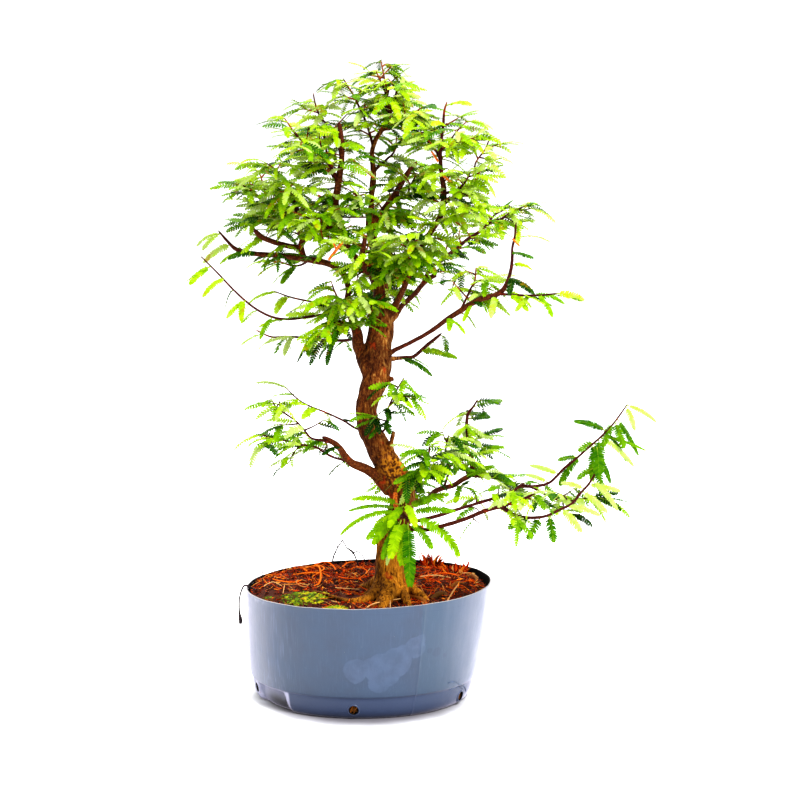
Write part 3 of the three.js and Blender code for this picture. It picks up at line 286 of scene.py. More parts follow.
        (84, -52, 355, 1.2), (89, -44, 364, 1.1), (93, -36, 372, 1), (97, -29, 379, 0.9),
        (98, -22, 389, 0.7),
    ]),
    ("shoot_near_trunk", (7, 0.3, 0.99, 28, 0.3), [
        (10, -31, 243, 1.3), (17, -38, 247, 1.1), (20, -45, 261, 1), (21, -50, 269, 0.9),
        (27, -57, 283, 0.8), (34, -63, 296, 0.6),
    ]),
    ("shoot_left_arc", (8, 0.3, 0.98, 28, 0.3), [
        (1, -30, 244, 1.3), (-9, -18, 246, 1.1), (-20, -6, 251, 1), (-36, 4, 257, 0.9), (-52, 14, 262, 0.8),
        (-63, 21, 268, 0.7), (-73, 28, 277, 0.6),
    ]),
    ("shoot_low_left_a", (9, 0.4, 0.99, 29, 0.25), [
        (-11, -49, 219, 1.4), (-21, -40, 221, 1.3), (-28, -34, 222, 1.2), (-36, -27, 225, 1.1),
        (-44, -20, 229, 1.1), (-58, -11, 230, 1), (-71, -3, 232, 0.9), (-84, 5, 233, 0.8),
        (-94, 11, 236, 0.7),
    ]),
    ("shoot_low_left_b", (7, 0.4, 0.98, 29, 0.25), [
        (-27, -58, 238, 1.3), (-37, -66, 242, 1.2), (-46, -73, 245, 1), (-52, -79, 253, 0.9),
        (-58, -85, 261, 0.8), (-65, -90, 267, 0.8), (-75, -95, 275, 0.7), (-79, -98, 282, 0.6),
    ]),
    ("shoot_low_right_a", (10, 0.25, 0.99, 29, 0.6), [
        (117, -104, 190, 1.7), (123, -101, 186, 1.6), (129, -98, 182, 1.6), (138, -94, 179, 1.5),
        (149, -90, 178, 1.5), (159, -85, 179, 1.4), (169, -81, 183, 1.4), (181, -76, 188, 1.3),
        (188, -72, 196, 1.2), (196, -68, 204, 1.1), (202, -64, 214, 1), (204, -60, 226, 0.8),
    ]),
    ("shoot_low_right_b", (10, 0.25, 0.99, 28, 0.45), [
        (140, 4, 190, 1.82), (152, 8, 189, 1.56), (165, 12, 191, 1.43), (173, 15, 197, 1.3),
        (180, 18, 204, 1.3), (192, 22, 213, 1.17), (204, 26, 223, 1.17), (215, 30, 232, 1.04),
        (226, 34, 243, 0.91), (238, 38, 259, 0.78),
    ]),
    ("limb_low_right_c", (7, 0.3, 0.99, 29, 0.2), [
        (95, 32, 195, 1.7), (104, 40, 193, 1.6), (114, 47, 191, 1.4), (121, 53, 188, 1.3),
        (129, 59, 189, 1),
    ]),
    ("shoot_low_right_d", (9, 0.3, 0.99, 29, 0.25), [
        (70, 11, 186, 1.5), (73, 4, 196, 1.3), (75, -3, 206, 1.2), (73, -10, 216, 1.1), (72, -17, 228, 0.9),
        (74, -24, 240, 0.8),
    ]),
    ("shoot_right_trunk", (8, 0.4, 0.99, 29, 0.3), [
        (35, -29, 188, 1.9), (43, -40, 196, 1.7), (48, -50, 206, 1.5), (51, -58, 215, 1.4),
        (55, -66, 226, 1.2), (57, -73, 238, 0.9),
    ]),
    ("limb_low_right_b", (7, 0.35, 0.99, 29, 0.4), [
        (141, 5, 191, 1.2), (149, -4, 190, 1), (158, -13, 187, 0.9), (168, -22, 183, 0.8),
        (178, -31, 182, 0.8), (189, -39, 185, 0.7), (201, -46, 189, 0.6),
    ]),
    ("shoot_basal", (9, 0.35, 0.99, 42, 0.75), [
        (30, -38, 169, 2.6), (33, -54, 174, 2.4), (35, -66, 174, 2.2), (38, -78, 174, 2),
    ]),
    ("limb_front_high", (9, 0.25, 0.99, 27, 0.4), [
        (-14, -4, 350, 1.3), (-18, -16, 356, 1.1), (-22, -30, 362, 1), (-26, -44, 366, 0.9),
        (-30, -56, 367, 0.7),
    ]),
    ("limb_front_high", (9, 0.2, 0.99, 27, 0.5), [
        (-8, -10, 334, 1.3), (-14, -22, 340, 1.1), (-22, -34, 343, 1), (-30, -44, 342, 0.8),
        (-37, -52, 337, 0.6),
    ]),
    ("limb_front_high", (9, 0.2, 0.99, 28, 0.35), [
        (13, -10, 345, 1.4), (8, -26, 354, 1.2), (2, -40, 362, 1), (-3, -52, 368, 0.8),
    ]),
    ("shoot_mid_front", (9, 0.25, 0.99, 29, 0.25), [
        (14, 0, 378, 1.4), (22, -14, 388, 1.2), (30, -28, 398, 1), (36, -42, 405, 0.8),
    ]),
    ("shoot_mid_front", (9, 0.25, 0.99, 28, 0.2), [
        (4, 7, 430, 1.3), (0, -6, 438, 1.1), (-4, -20, 448, 1), (-9, -33, 457, 0.8),
    ]),
    ("shoot_mid_front", (8, 0.25, 0.99, 28, 0.25), [
        (6, 5, 415, 1.3), (12, -10, 424, 1.1), (18, -24, 434, 0.9), (25, -36, 441, 0.7),
    ]),
    ("shoot_crown_left_c", (9, 0.2, 0.99, 28, 0.2), [
        (-24, -24, 440, 1.3), (-32, -34, 436, 1.1), (-42, -42, 434, 0.9), (-52, -48, 430, 0.7),
    ]),
]

ROOTS = [
    [(16, -44, 112, 7.5), (7, -56, 103, 5.4), (-4, -65, 99.5, 3.6), (-13, -67, 99, 2.6),
     (-22, -60, 99.5, 2.2), (-34, -46, 100, 1.9), (-48, -28, 100, 1.5)],
    [(32, -40, 110, 5.4), (42, -46, 106, 4.4), (50, -52, 101, 3.8), (56, -60, 96, 3)],
    [(22, -48, 112, 10), (20, -60, 103, 8), (16, -73, 97, 5.5), (14, -84, 92, 3)],
    [(30, -46, 110, 6.4), (35, -60, 102, 4.6), (39, -73, 95, 3)],
    [(18, -50, 108, 4.6), (12, -66, 98, 3.2), (4, -80, 94, 2)],
    [(26, -30, 110, 9), (34, -12, 101, 6), (44, 6, 96, 3.5)],
    [(16, -32, 110, 9), (4, -16, 101, 6), (-8, 0, 96, 3.5)],
    [(12, -38, 106, 5), (4, -37, 101, 3), (-4, -38, 97, 1.8)],
]
# A limb's wood that runs on down the trunk's front
FUSED_STRANDS = [
    [(4, -36, 236, 2.2), (10, -38, 228, 3.2), (16, -39, 219, 3.6), (22, -39, 209, 3.6), (28, -40, 199, 3.4),
     (34, -41, 191, 2.6)],
    [(26, -37, 246, 2), (23, -39, 234, 2.6), (26, -37, 222, 3), (33, -35, 212, 3.2), (39, -33, 202, 2.6)],
    [(17, -46, 132, 2.4), (19, -47, 122, 3.4), (21, -50, 112, 4), (24, -56, 104, 3.4)],
]
CUT_STUBS = [
    [(18, -40, 140, 4.2), (13, -44, 147, 3.8), (10, -46, 153, 3.2)],
    [(2, -31, 262, 3), (-6, -34, 264, 2.6)],
    [(17, -22, 288, 3), (25, -28, 292, 2.4)],
]
# Bright wood where the bark has peeled or a twig was torn off
BRIGHT_WOOD = [
    [(27, -44, 192, 1.9), (27, -46, 183, 2.1), (29, -46, 176, 2.2), (35, -44, 168, 2)],
    [(-12, 1, 484, 0.9), (-2, 0, 476, 1.3), (9, 1, 467, 1.1)],
    [(67, -60, 473, 0.9), (73, -60, 468, 1.2), (79, -60, 463, 0.9)],
    [(58, -58, 493, 0.8), (64, -58, 484, 1.1)],
    [(128, -68, 418, 0.9), (134, -69, 412, 0.8)],
    [(35, 18, 449, 1.2), (43, 18, 448, 1)],
    [(-42, 0, 452, 1.2), (-36, 0, 449, 1.2)],
    [(-47, 5, 420, 1.1), (-42, 5, 417, 1.1)],
    [(-3, -10, 418, 1.4), (3, -10, 415, 1.2)],
    [(43, -52, 161, 1.9), (51, -59, 164, 1.7)],
    [(-31, -60, 399, 1.1), (-24, -60, 408, 1.3), (-15, -62, 419, 0.8)],
    [(-24, -60, 408, 1), (-28, -61, 417, 0.7)],
]
DRY_STALKS = {
    "dry_stalk_back": [
        [(-32, 84, 95, 0.6), (-32, 84, 107, 0.55), (-29, 84, 115, 0.5), (-27, 84, 119, 0.45),
         (-23, 84, 125, 0.35)],
        [(-23, 84, 125, 0.35), (-19, 84, 118, 0.45), (-14, 84, 114, 0.7), (-11, 84, 109, 0.5),
         (-7, 82, 97, 0.5)],
        [(-34, 84, 117, 0.3), (-27, 84, 119, 0.4)],
        [(-14, 84, 112, 0.45), (-10, 84, 114, 0.4), (-6, 83, 113, 0.35)],
        [(2, 82, 97, 0.4), (-2, 82, 106, 0.4), (-5, 82, 112, 0.3)],
    ],
    "dry_stalk_left": [
        [(-97, -8, 95, 0.6), (-104, -11, 100, 0.6), (-109, -13, 102, 0.6), (-112, -13, 97, 0.55),
         (-114, -13, 88, 0.5), (-114, -13, 78, 0.6), (-113, -14, 71, 1.3), (-113, -14, 67, 1)],
        [(-92, 0, 95, 0.35), (-94, 0, 109, 0.3), (-90, 0, 123, 0.25), (-82, 0, 134, 0.2)],
    ],
}
# Roots and strands that lie loose on the soil: x, y, the height above the soil and the radius
COIR_LOOPS = [
    [(-56, 84, 1, 0.6), (-46, 89, 3.5, 0.7), (-39, 80, 3.5, 0.7), (-33, 61, 2, 0.7), (-29, 39, 0, 0.6)],
    [(-53, 76, 1, 0.7), (-47, 53, 4, 0.8), (-44, 12, 4, 0.8), (-45, -6, 2, 0.8), (-49, -10, 0, 0.7)],
    [(-28, 57, 1, 0.6), (-21, 80, 3, 0.7), (-15, 94, 3, 0.6)],
    [(-88, 20, 1, 0.6), (-80, 8, 3, 0.6), (-68, 4, 2, 0.6), (-60, 14, 1, 0.5)],
    [(-70, 40, 1, 0.6), (-58, 30, 3.5, 0.7), (-44, 34, 2, 0.6), (-36, 22, 1, 0.5)],
    [(60, 30, 1, 0.7), (70, 20, 3, 0.7), (80, 22, 2, 0.6)],
    [(-28, 20, 1, 0.6), (-20, 6, 3.5, 0.6), (-8, 12, 2, 0.5)],
    [(-62, 60, 1, 0.5), (-50, 66, 4, 0.6), (-42, 44, 4, 0.6), (-52, 24, 1, 0.5)],
    [(-24, 40, 1, 0.5), (-12, 52, 4, 0.6), (-2, 36, 3, 0.5), (-10, 20, 0, 0.5)],
]
LOOSE_ROOTS = [
    [(-64, 16, 1, 0.45), (-66, 3, 3, 0.5), (-64, -10, 3, 0.5), (-58, -17, 2, 0.5), (-54, -12, 2, 0.45),
     (-54, -1, 1, 0.4)],
    [(-95, -1, 1, 0.45), (-87, 3, 2.5, 0.45), (-78, -6, 1, 0.4)],
    [(-76, 3, 1, 0.45), (-76, -15, 2.5, 0.5), (-76, -32, 1, 0.4)],
    [(47, 21, 1, 0.6), (60, 19, 2.5, 0.7), (74, 12, 1, 0.6)],
    [(69, -61, 1, 0.7), (76, -36, 3, 0.7), (82, -6, 1, 0.6)],
    [(34, -10, 1, 0.6), (42, -36, 4, 0.7), (49, -66, 1, 0.6)],
    [(47, -19, 1, 0.5), (49, -45, 3, 0.5), (49, -70, 1, 0.45)],
    [(20, -58, 4, 0.5), (20, -80, 4, 0.5), (20, -92, 1, 0.4)],
    [(30, -62, 4, 0.45), (6, -80, 4, 0.5), (-2, -90, 1, 0.4)],
    [(84, 39, 1, 0.7), (94, 36, 2.5, 0.7), (100, 28, 1, 0.6)],
    [(-30, -20, 1, 0.5), (-22, -30, 3, 0.5), (-8, -26, 1, 0.45)],
]
STOUT_ROOTS = [
    [(90, 32, 0, 1.6), (95, 27, 2, 2.2), (98, 18, 2, 1.8), (98, 8, 0, 1.4)],
    [(56, -50, 0, 2), (62, -44, 2, 2.6), (68, -40, 1, 2.4), (70, -52, 0, 2), (69, -60, -1, 1.6)],
    [(36, -44, 1, 2), (44, -52, 2, 2.2), (50, -62, 1, 2), (54, -76, -2, 1.6)],
    [(74, -18, 0, 1.6), (80, -10, 1.5, 2), (88, -8, 0, 1.6)],
]
# Pads of moss and upright tufts of coir: the middle of the foot, then the size
MOSS = {
    "moss_front_left": ((-52, -44, 95.5), (25, 24, 5)),
    "moss_front": ((-24, -86, 94.5), (11, 7, 4.5)),
    "moss_left": ((-86, -42, 94.2), (6, 9, 3)),
}
COIR_TUFTS = {
    "coir_tuft_back": ((59, 82, 98), 10, 21),
    "coir_tuft_right": ((82, 50, 99), 11, 17),
}

# Stems whose leaves stand far apart, with no side twigs
SPARSE_STEMS = {
    "shoot_left_far", "shoot_left_mid", "shoot_left_small", "shoot_left_under", "shoot_low_right_a",
    "shoot_low_right_b", "shoot_right_mid", "limb_left_upper", "limb_right_mid",
    "limb_right_second", "shoot_left_arc", "limb_left_low",
}
# The young shoot low on the trunk, blade by blade: its foot, the angle of its heading from the right,
# its rise, how far it bends down on its way, its length, how wide its leaflets reach and its tone
BASAL_BLADES = [
    ((31, -56, 183), 178, 24, 40, 42, 5.4, 0.5),
    ((30, -58, 180), 184, 14, 36, 44, 3.6, 0.3),
    ((31, -60, 177), 196, 8, 58, 58, 4.6, 0.45),
    ((31, -62, 173), 206, -10, 40, 36, 6, 0.4),
    ((31, -64, 175), 216, -24, 30, 36, 7, 0.4),
    ((32, -66, 172), 232, -40, 22, 40, 6, 0.25),
    ((35, -74, 174), -98, -60, 16, 40, 8.6, 0.48),
    ((32, -76, 173), -122, -52, 18, 34, 8, 0.56),
    ((38, -83, 172), -84, -64, 20, 54, 8.4, 0.2),
    ((30, -68, 170), -140, -62, 16, 38, 4, 0.95),
    ((42, -72, 174), -4, -12, 62, 54, 8.4, 0.46),
    ((40, -70, 171), -24, -34, 30, 30, 6.6, 0.34),
    ((37, -66, 182), 10, 26, 20, 38, 7, 0.42),
    ((40, -66, 178), -4, 14, 26, 38, 6, 0.36),
    ((36, -68, 186), -66, -20, 40, 26, 6, 0.62),
    ((34, -66, 184), -126, -18, 40, 26, 5.6, 0.5),
    ((33, -66, 178), 176, -6, 50, 28, 6, 0.56),
]

# Blades at the ends of the two low right shoots: the foot, the tip, how wide the leaflets reach and the tone
OUTER_BLADES = {
    "shoot_low_right_b": [
        ((237, 38, 258), (244, 30, 238), 3.6, 0.92), ((238, 38, 259), (263, 36, 244), 2.9, 0.92),
        ((227, 34, 244), (234, 26, 223), 5.3, 0.35), ((226, 34, 243), (217, 28, 223), 4.7, 0.35),
        ((229, 35, 247), (248, 40, 214), 3.4, 0.26), ((219, 32, 236), (191, 30, 244), 4, 0.19),
        ((207, 27, 226), (195, 24, 219), 4.5, 0.35), ((209, 28, 227), (206, 20, 194), 5.6, 0.28),
        ((212, 29, 229), (213, 22, 200), 6, 0.32), ((218, 31, 235), (236, 36, 208), 2.7, 0.13),
        ((214, 30, 231), (242, 28, 205), 3.4, 0.92), ((216, 31, 232), (254, 40, 217), 2.2, 0.42),
        ((196, 23, 216), (178, 18, 189), 4.9, 0.29), ((193, 22, 214), (176, 20, 211), 3.4, 0.28),
        ((205, 26, 224), (221, 22, 191), 3.8, 0.2), ((175, 16, 199), (150, 10, 207), 3.1, 0.92),
        ((165, 12, 192), (146, 8, 199), 2.9, 0.92), ((160, 11, 190), (173, 10, 176), 3.6, 0.35),
    ],
    "shoot_low_right_a": [
        ((135, -96, 180), (126, -102, 171), 4.2, 0.35), ((140, -93, 179), (133, -100, 168), 4.7, 0.28),
        ((153, -88, 178), (143, -94, 161), 5.2, 0.31), ((160, -85, 179), (164, -90, 158), 5.3, 0.25),
        ((171, -80, 184), (187, -88, 166), 4.5, 0.92), ((176, -78, 186), (203, -80, 178), 3.6, 0.92),
        ((190, -71, 198), (210, -76, 181), 3.6, 0.92), ((195, -68, 203), (222, -66, 197), 3.6, 0.92),
        ((198, -67, 207), (219, -74, 182), 3.4, 0.92), ((192, -70, 200), (173, -74, 205), 3.1, 0.92),
        ((203, -66, 236), (204, -70, 212), 6, 0.24), ((203, -62, 220), (207, -66, 196), 4.7, 0.29),
        ((203, -62, 218), (188, -60, 207), 3.8, 0.35),
        ((129, -98, 183), (112, -96, 190), 3.6, 0.92), ((131, -98, 182), (124, -92, 200), 3.6, 0.92),
    ],
}
# Wood that shows between the leaves, as seen from the front: x, z
BARE_WOOD = [
    [(19, 322), (17, 375), (6, 385), (3, 441), (8, 476), (6, 498), (20, 530), (19, 551)],
    [(68, 430), (71, 533)],
    [(-22, 519), (-20, 487), (-22, 445)],
    [(10, 434), (45, 480)],
    [(-110, 404), (-53, 399)],
    [(-95, 423), (-53, 409)],
    [(-30, 419), (-15, 399)],
    [(66, 172), (143, 190)],
    [(66, 163), (122, 177)],
    [(66, 192), (95, 207), (116, 203)],
]
BARE_REACH = 5.5

# Pot: the outside as radius and height, from the foot to the rim
FLOOR_RADIUS = 60
LEDGE_HEIGHT = 20
POT_HEIGHT = 101.4
POT_OUTSIDE = [
    (91, 0), (93.4, 0.5), (96, 2.6), (97.6, 5), (98.6, 8), (99.5, 12), (100.2, 16),
    (100.8, LEDGE_HEIGHT - 1.2), (101.4, LEDGE_HEIGHT - 0.2), (102.2, LEDGE_HEIGHT + 0.5),
    (102.7, LEDGE_HEIGHT + 1.6), (104.7, 34), (107, 55), (109, 76), (110.4, 93.5), (110.8, 99.4),
    (111, POT_HEIGHT),
]
POT_LEAN = 5.6
POT_FOOT_SHIFT = -3
RIM_SLOPE = 0.0287
RECESS_DEPTH = 4.4
RECESS_WIDTH = 23
RECESS_EDGE = 5
# How many degrees wider each side of a recess is at the pot's foot
RECESS_FLARE = 4
RECESS_BEARINGS = (-56.5, 123.5)
# Drain holes: bearing and height
DRAIN_HOLES = [(-73, 12.5), (-4, 9), (62, 8.5), (140, 9), (212, 9)]
DRAIN_RADIUS = 3.9
DRAIN_WALL_RADIUS = 98.8
DRAIN_TILT = 0.22
BOSS_RADIUS = 5.3
BOSS_RISE = 0.45
SEAM_BEARING = 27
SEAM_REACH = 0.6
# Where the black inner wall starts
INSIDE_FROM = 70
SEAM_RISE = 0.35
# Marks of dried water on the front: bearing, height and radius
STAINS = [
    (-4, 45.5, 11.5), (3, 49, 9), (8, 48, 14), (15.5, 53, 14.5), (18, 60, 9), (24, 65, 10.5), (8, 34, 10),
    (12, 41, 11), (26, 71, 6),
]
DARK_MARKS = [(36, 58, 5), (32, 61, 3.5), (41, 54, 3)]
# Raised lines on the lower wall, as bearings and heights
RIDGES = [
    [(46.6, 26.5), (50, 26.3), (53.4, 24.6), (57, 21.4), (61, 19.2), (64, 17), (67, 13.5), (69, 10)],
    [(49.5, 18.8), (53, 19.2), (57.3, 18.7), (60.5, 17), (63, 14.8)],
]

# Soil: radius and height of its top, from the middle to the wall
SOIL_TOP = [(0, 99.5), (35, 98.8), (70, 97), (90, 95.6), (100, 94.2), (106.5, 92.6)]
SOIL_SLOPE = -0.012
# How far from the pot's axis anything on the soil may reach
INSIDE_REACH = 106.4

SOIL_GAP = 0.7
SOIL_LIFT = 4.2
RIGHT_LIFT = 7

CROWN_MIDDLE = (15, -5)
LOWEST_CROWN = 330
CROWN_CENTRE = Vector((15, 0, 400))
CROWN_SIZE = Vector((125, 105, 150))
CROWN_REACH = 70
LEAFLET_FOLD = 0.1
# Ochre bark by the trunk's fork, in metres
PALE_FORK = (0.038, -0.05, 0.214)
# Length, half thickness and bow of the fibres
FIBRES = [
    (22, 0.26, 7), (16, 0.3, -5), (12, 0.28, 4), (9, 0.4, 2), (7, 0.6, 0.8), (11, 0.36, -3), (5, 0.85, 0.3),
    (14, 0.24, 5), (10, 0.3, -4),
]
# The floor's colours from the pot's foot outwards
SHADOW_COLOURS = ((0, (0.2, 0.19, 0.21)), (0.5, (0.5, 0.49, 0.52)), (1, (0.93, 0.93, 0.93)))
# What the lamps point at, in metres
LIT_POINT = (0, 0, 0.3)

# The eye stands in front of the plant, a little above its top
EYE = (31, -2200, 560)
LOOK_DOWN = 7.54
LENS = 111.26


# Small helpers

def paint(red, green, blue):
    """A screen colour, 0 to 255 a channel, as the linear colour that Blender works in."""
    return tuple(
        ((channel / 255 + 0.055) / 1.055) ** 2.4 if channel > 10 else channel / 255 / 12.92
        for channel in (red, green, blue)
    )


def smooth_rise(low, high, value):
    share = min(max((value - low) / (high - low), 0), 1)
    return share * share * (3 - 2 * share)


def along(pairs, value):
    """The height that a list of (place, height) pairs has at a value, in straight stretches."""
    for (start, low), (end, high) in zip(pairs, pairs[1:]):
        if value <= end:
            return low + (high - low) * (value - start) / (end - start)
    return pairs[-1][1]


def bearing_direction(bearing):
    """A level direction, by its degrees from the front, positive to the right."""
    angle = math.radians(bearing)
    return Vector((math.sin(angle), -math.cos(angle), 0))


def numbers_from(seed):
    """Draws numbers between 0 and 1 that come out the same on every run, as in the part's own source."""
    state = seed

    def draw():
        nonlocal state
        state = (state * 1664525 + 1013904223) % 4294967296
        return state / 4294967296

    draw()
    draw()
    return draw


def placed(name, data):
    """A new object in the scene."""
    thing = bpy.data.objects.new(name, data)
    bpy.context.scene.collection.objects.link(thing)
    return thing


def settle(piece, slot, *nodes, smooth=True):
    """Hands a finished piece to the frame and hides the nodes that it stands for. Its finish, the slot, is
    not used.
    """
    if smooth:
        piece.data.shade_smooth()
    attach(piece, "root")
    if nodes:
        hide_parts(*nodes)


# Node trees

class Tree:
    """A node tree under construction. An input takes a value, a socket, or a node's first live output."""

    def __init__(self, tree):
        self.nodes = tree.nodes
        self.links = tree.links

    def put(self, value, socket):
        if isinstance(value, bpy.types.Node):
            value = next(s for s in value.outputs if s.enabled)
        if isinstance(value, bpy.types.NodeSocket):
            self.links.new(value, socket)
        else:
            socket.default_value = value

    def add(self, kind, *inputs, **named):
        """Adds a node. Inputs come in order or by name, in capitals, and the node's settings by name."""
        node = self.nodes.new(kind)
        for name, value in named.items():
            if name[0].islower():
                setattr(node, name, value)
        for value, socket in zip(inputs, node.inputs):
            self.put(value, socket)
        for name, value in named.items():
            if name[0].isupper():
                label = name.replace("_", " ")
                self.put(value, next(s for s in node.inputs if s.name == label and s.enabled))
        return node

    def math(self, operation, *values):
        return self.add("ShaderNodeMath", *values, operation=operation)

    def plus(self, first, second):
        return self.math("ADD", first, second)

    def minus(self, first, second):
        return self.math("SUBTRACT", first, second)

    def times(self, first, second):
        return self.math("MULTIPLY", first, second)

    def absolute(self, value):
        return self.math("ABSOLUTE", value)

    def vector(self, operation, *values):
        return self.add("ShaderNodeVectorMath", *values, operation=operation)

    def scaled(self, vector, factor):
        return self.add("ShaderNodeVectorMath", vector, Scale=factor, operation="SCALE")

    def parts(self, vector):
        return self.add("ShaderNodeSeparateXYZ", vector).outputs

    def joined(self, x, y, z):
        return self.add("ShaderNodeCombineXYZ", x, y, z)

    def squeezed(self, vector, height):
        """A place with its height scaled, so that a pattern on it is drawn out along its height."""
        x, y, z = self.parts(vector)
        return self.joined(x, y, self.times(z, height))

    def span(self, value, low, high, start=0.0, end=1.0):
        """The value's way from low to high, smoothly, as a way from start to end."""
        return self.add("ShaderNodeMapRange", value, low, high, start, end, interpolation_type="SMOOTHSTEP")

    def band(self, value, middle, soft, sharp, strength):
        """A strength close to a middle value, and 0 away from it."""
        return self.span(self.absolute(self.minus(value, middle)), soft, sharp, 0.0, strength)

    def clouds(self, place, size, detail=3.0, roughness=0.5, distortion=0.0):
        """Noise whose blotches are about so many millimetres across, around 0.5."""
        return self.add("ShaderNodeTexNoise", Vector=place, Scale=1 / (size * MM), Detail=detail,
                        Roughness=roughness, Distortion=distortion).outputs[0]

    def lumps(self, place, size, *more):
        """Such noise around 0."""
        return self.minus(self.clouds(place, size, *more), 0.5)

    def blend(self, share, first, second):
        """One colour laid over another by a share."""
        node = self.add("ShaderNodeMix", share, data_type="RGBA")
        for value, socket in ((first, node.inputs[6]), (second, node.inputs[7])):
            self.put(value if isinstance(value, bpy.types.NodeSocket) else (*value, 1), socket)
        return node.outputs[2]

    def ramp(self, value, *stops):
        """A colour for each value, by (value, colour) stops."""
        node = self.add("ShaderNodeValToRGB", value)
        band = node.color_ramp
        while len(band.elements) < len(stops):
            band.elements.new(1)
        for element, (place, colour) in zip(band.elements, stops):
            element.position = place
            element.color = (*colour, 1)
        return node.outputs[0]

    def bump(self, height, depth, **under):
        """A normal for a height that spans so many millimetres."""
        node = self.add("ShaderNodeBump", Height=height, Distance=depth * MM, Strength=1.0, **under)
        return node.outputs[0]


class Shaper(Tree):
    """A Geometry Nodes tree from geometry to geometry, with a named input for each size and the material."""

    def __init__(self, name, sizes):
        self.group = bpy.data.node_groups.new(name, "GeometryNodeTree")
        super().__init__(self.group)
        new_socket = self.group.interface.new_socket
        new_socket("Geometry", in_out="INPUT", socket_type="NodeSocketGeometry")
        new_socket("Geometry", in_out="OUTPUT", socket_type="NodeSocketGeometry")
        for label, default in sizes.items():
            kind = "NodeSocketInt" if isinstance(default, int) else "NodeSocketFloat"
            new_socket(label, in_out="INPUT", socket_type=kind).default_value = default
        new_socket("Material", in_out="INPUT", socket_type="NodeSocketMaterial")
        self.inputs = self.add("NodeGroupInput").outputs
        self.place = self.geo("InputPosition")

    def geo(self, kind, *inputs, **named):
        return self.add("GeometryNode" + kind, *inputs, **named)

    def closed(self, geometry):
        """Ends the tree: real copies in place of instances, with the material on them."""
        real = self.geo("RealizeInstances", geometry)
        finished = self.geo("SetMaterial", Geometry=real, Material=self.inputs["Material"])
        self.add("NodeGroupOutput", finished)
        return self.group

    def attribute(self, name, kind="FLOAT"):
        return self.geo("InputNamedAttribute", Name=name, data_type=kind)

    def chance(self, low, high, seed):
        """A random number, or a random vector, for each element."""
        kind = "FLOAT_VECTOR" if isinstance(low, tuple) else "FLOAT"
        return self.add("FunctionNodeRandomValue", Min=low, Max=high, Seed=seed, data_type=kind)

    def seed(self, step):
        """The tree's seed for another of its random choices."""
        return self.plus(self.inputs["Seed"], step)

    def marked(self, geometry, name, value, domain):
        """Geometry that carries a named value."""
        return self.geo("StoreNamedAttribute", Geometry=geometry, Name=name, Value=value,
                        data_type="FLOAT", domain=domain)

    def together(self, *geometries):
        node = self.geo("JoinGeometry")
        for geometry in geometries:
            self.put(geometry, node.inputs[0])
        return node

    def pushed(self, geometry, offset):
        return self.geo("SetPosition", Geometry=geometry, Offset=offset)

    def swollen(self, geometry, height):
        """Geometry pushed out along its own normals."""
        return self.pushed(geometry, self.scaled(self.geo("InputNormal"), height))

    def smooth_lines(self):
        """The lines that the tree is given, as smooth curves."""
        line = self.geo("MeshToCurve", Mesh=self.inputs["Geometry"])
        return self.geo("CurveSplineType", Curve=line, spline_type="CATMULL_ROM")

    def stepped(self, line, step):
        return self.geo("ResampleCurve", Curve=line, Length=step, mode="LENGTH")

    def rod(self, line, sides, scale, radius=1.0):
        """A closed tube along a line."""
        ring = self.geo("CurvePrimitiveCircle", Resolution=sides, Radius=radius)
        return self.geo("CurveToMesh", Curve=line, Profile_Curve=ring, Scale=scale, Fill_Caps=True)

    def rough_ball(self, radius, roughness, seed):
        """A coarse ball with its corners thrown about."""
        ball = self.geo("MeshIcoSphere", Radius=radius * MM, Subdivisions=1)
        jolt = roughness * radius * MM
        return self.pushed(ball, self.chance((-jolt,) * 3, (jolt,) * 3, seed))


def with_tree(holder, group, sizes):
    """Puts a tree on an object, with the given sizes and material."""
    modifier = holder.modifiers.new(group.name, "NODES")
    modifier.node_group = group
    for socket in group.interface.items_tree:
        if socket.item_type == "SOCKET" and socket.in_out == "INPUT" and socket.name in sizes:
            modifier[socket.identifier] = sizes[socket.name]


def flattened(name, holder):
    """The shape that an object's modifiers give, as a plain mesh object in its place."""
    graph = bpy.context.evaluated_depsgraph_get()
    mesh = bpy.data.meshes.new_from_object(
        holder.evaluated_get(graph), preserve_all_data_layers=True, depsgraph=graph)
    mesh.name = name
    piece = placed(name, mesh)
    bpy.data.objects.remove(holder)
    return piece


def grown(name, source, group, **sizes):
    """The plain mesh object that a tree makes from a source mesh."""
    holder = placed(name + "_source", source)
    with_tree(holder, group, {key.replace("_", " ").capitalize(): value for key, value in sizes.items()})
    return flattened(name, holder)


def give_values(mesh, label, kind, values):
    """Puts a named value on each point of a mesh."""
    layer = mesh.attributes.new(label, kind, "POINT")
    key = "vector" if kind == "FLOAT_VECTOR" else "value"
    for item, value in zip(layer.data, values):
        setattr(item, key, value)


def lines_mesh(name, lines, kinds=WOOD_KINDS):
    """A mesh of open lines. A point of a line is its place in millimetres, then a value of each kind."""
    points = [point for line in lines for point in line]
    edges = []
    first = 0
    for line in lines:
        edges += [(i, i + 1) for i in range(first, first + len(line) - 1)]
        first += len(line)
    mesh = bpy.data.meshes.new(name)
    mesh.from_pydata([Vector(point[0]) * MM for point in points], edges, [])
    for column, (label, kind) in enumerate(kinds.items(), 1):
        give_values(mesh, label, kind, [point[column] for point in points])
    return mesh


def route_line(route, grown_by=1.0):
    """A route of x, y, z and radius as a line with its thickness."""
    return [((x, y, z), radius * MM * grown_by) for x, y, z, radius in route]


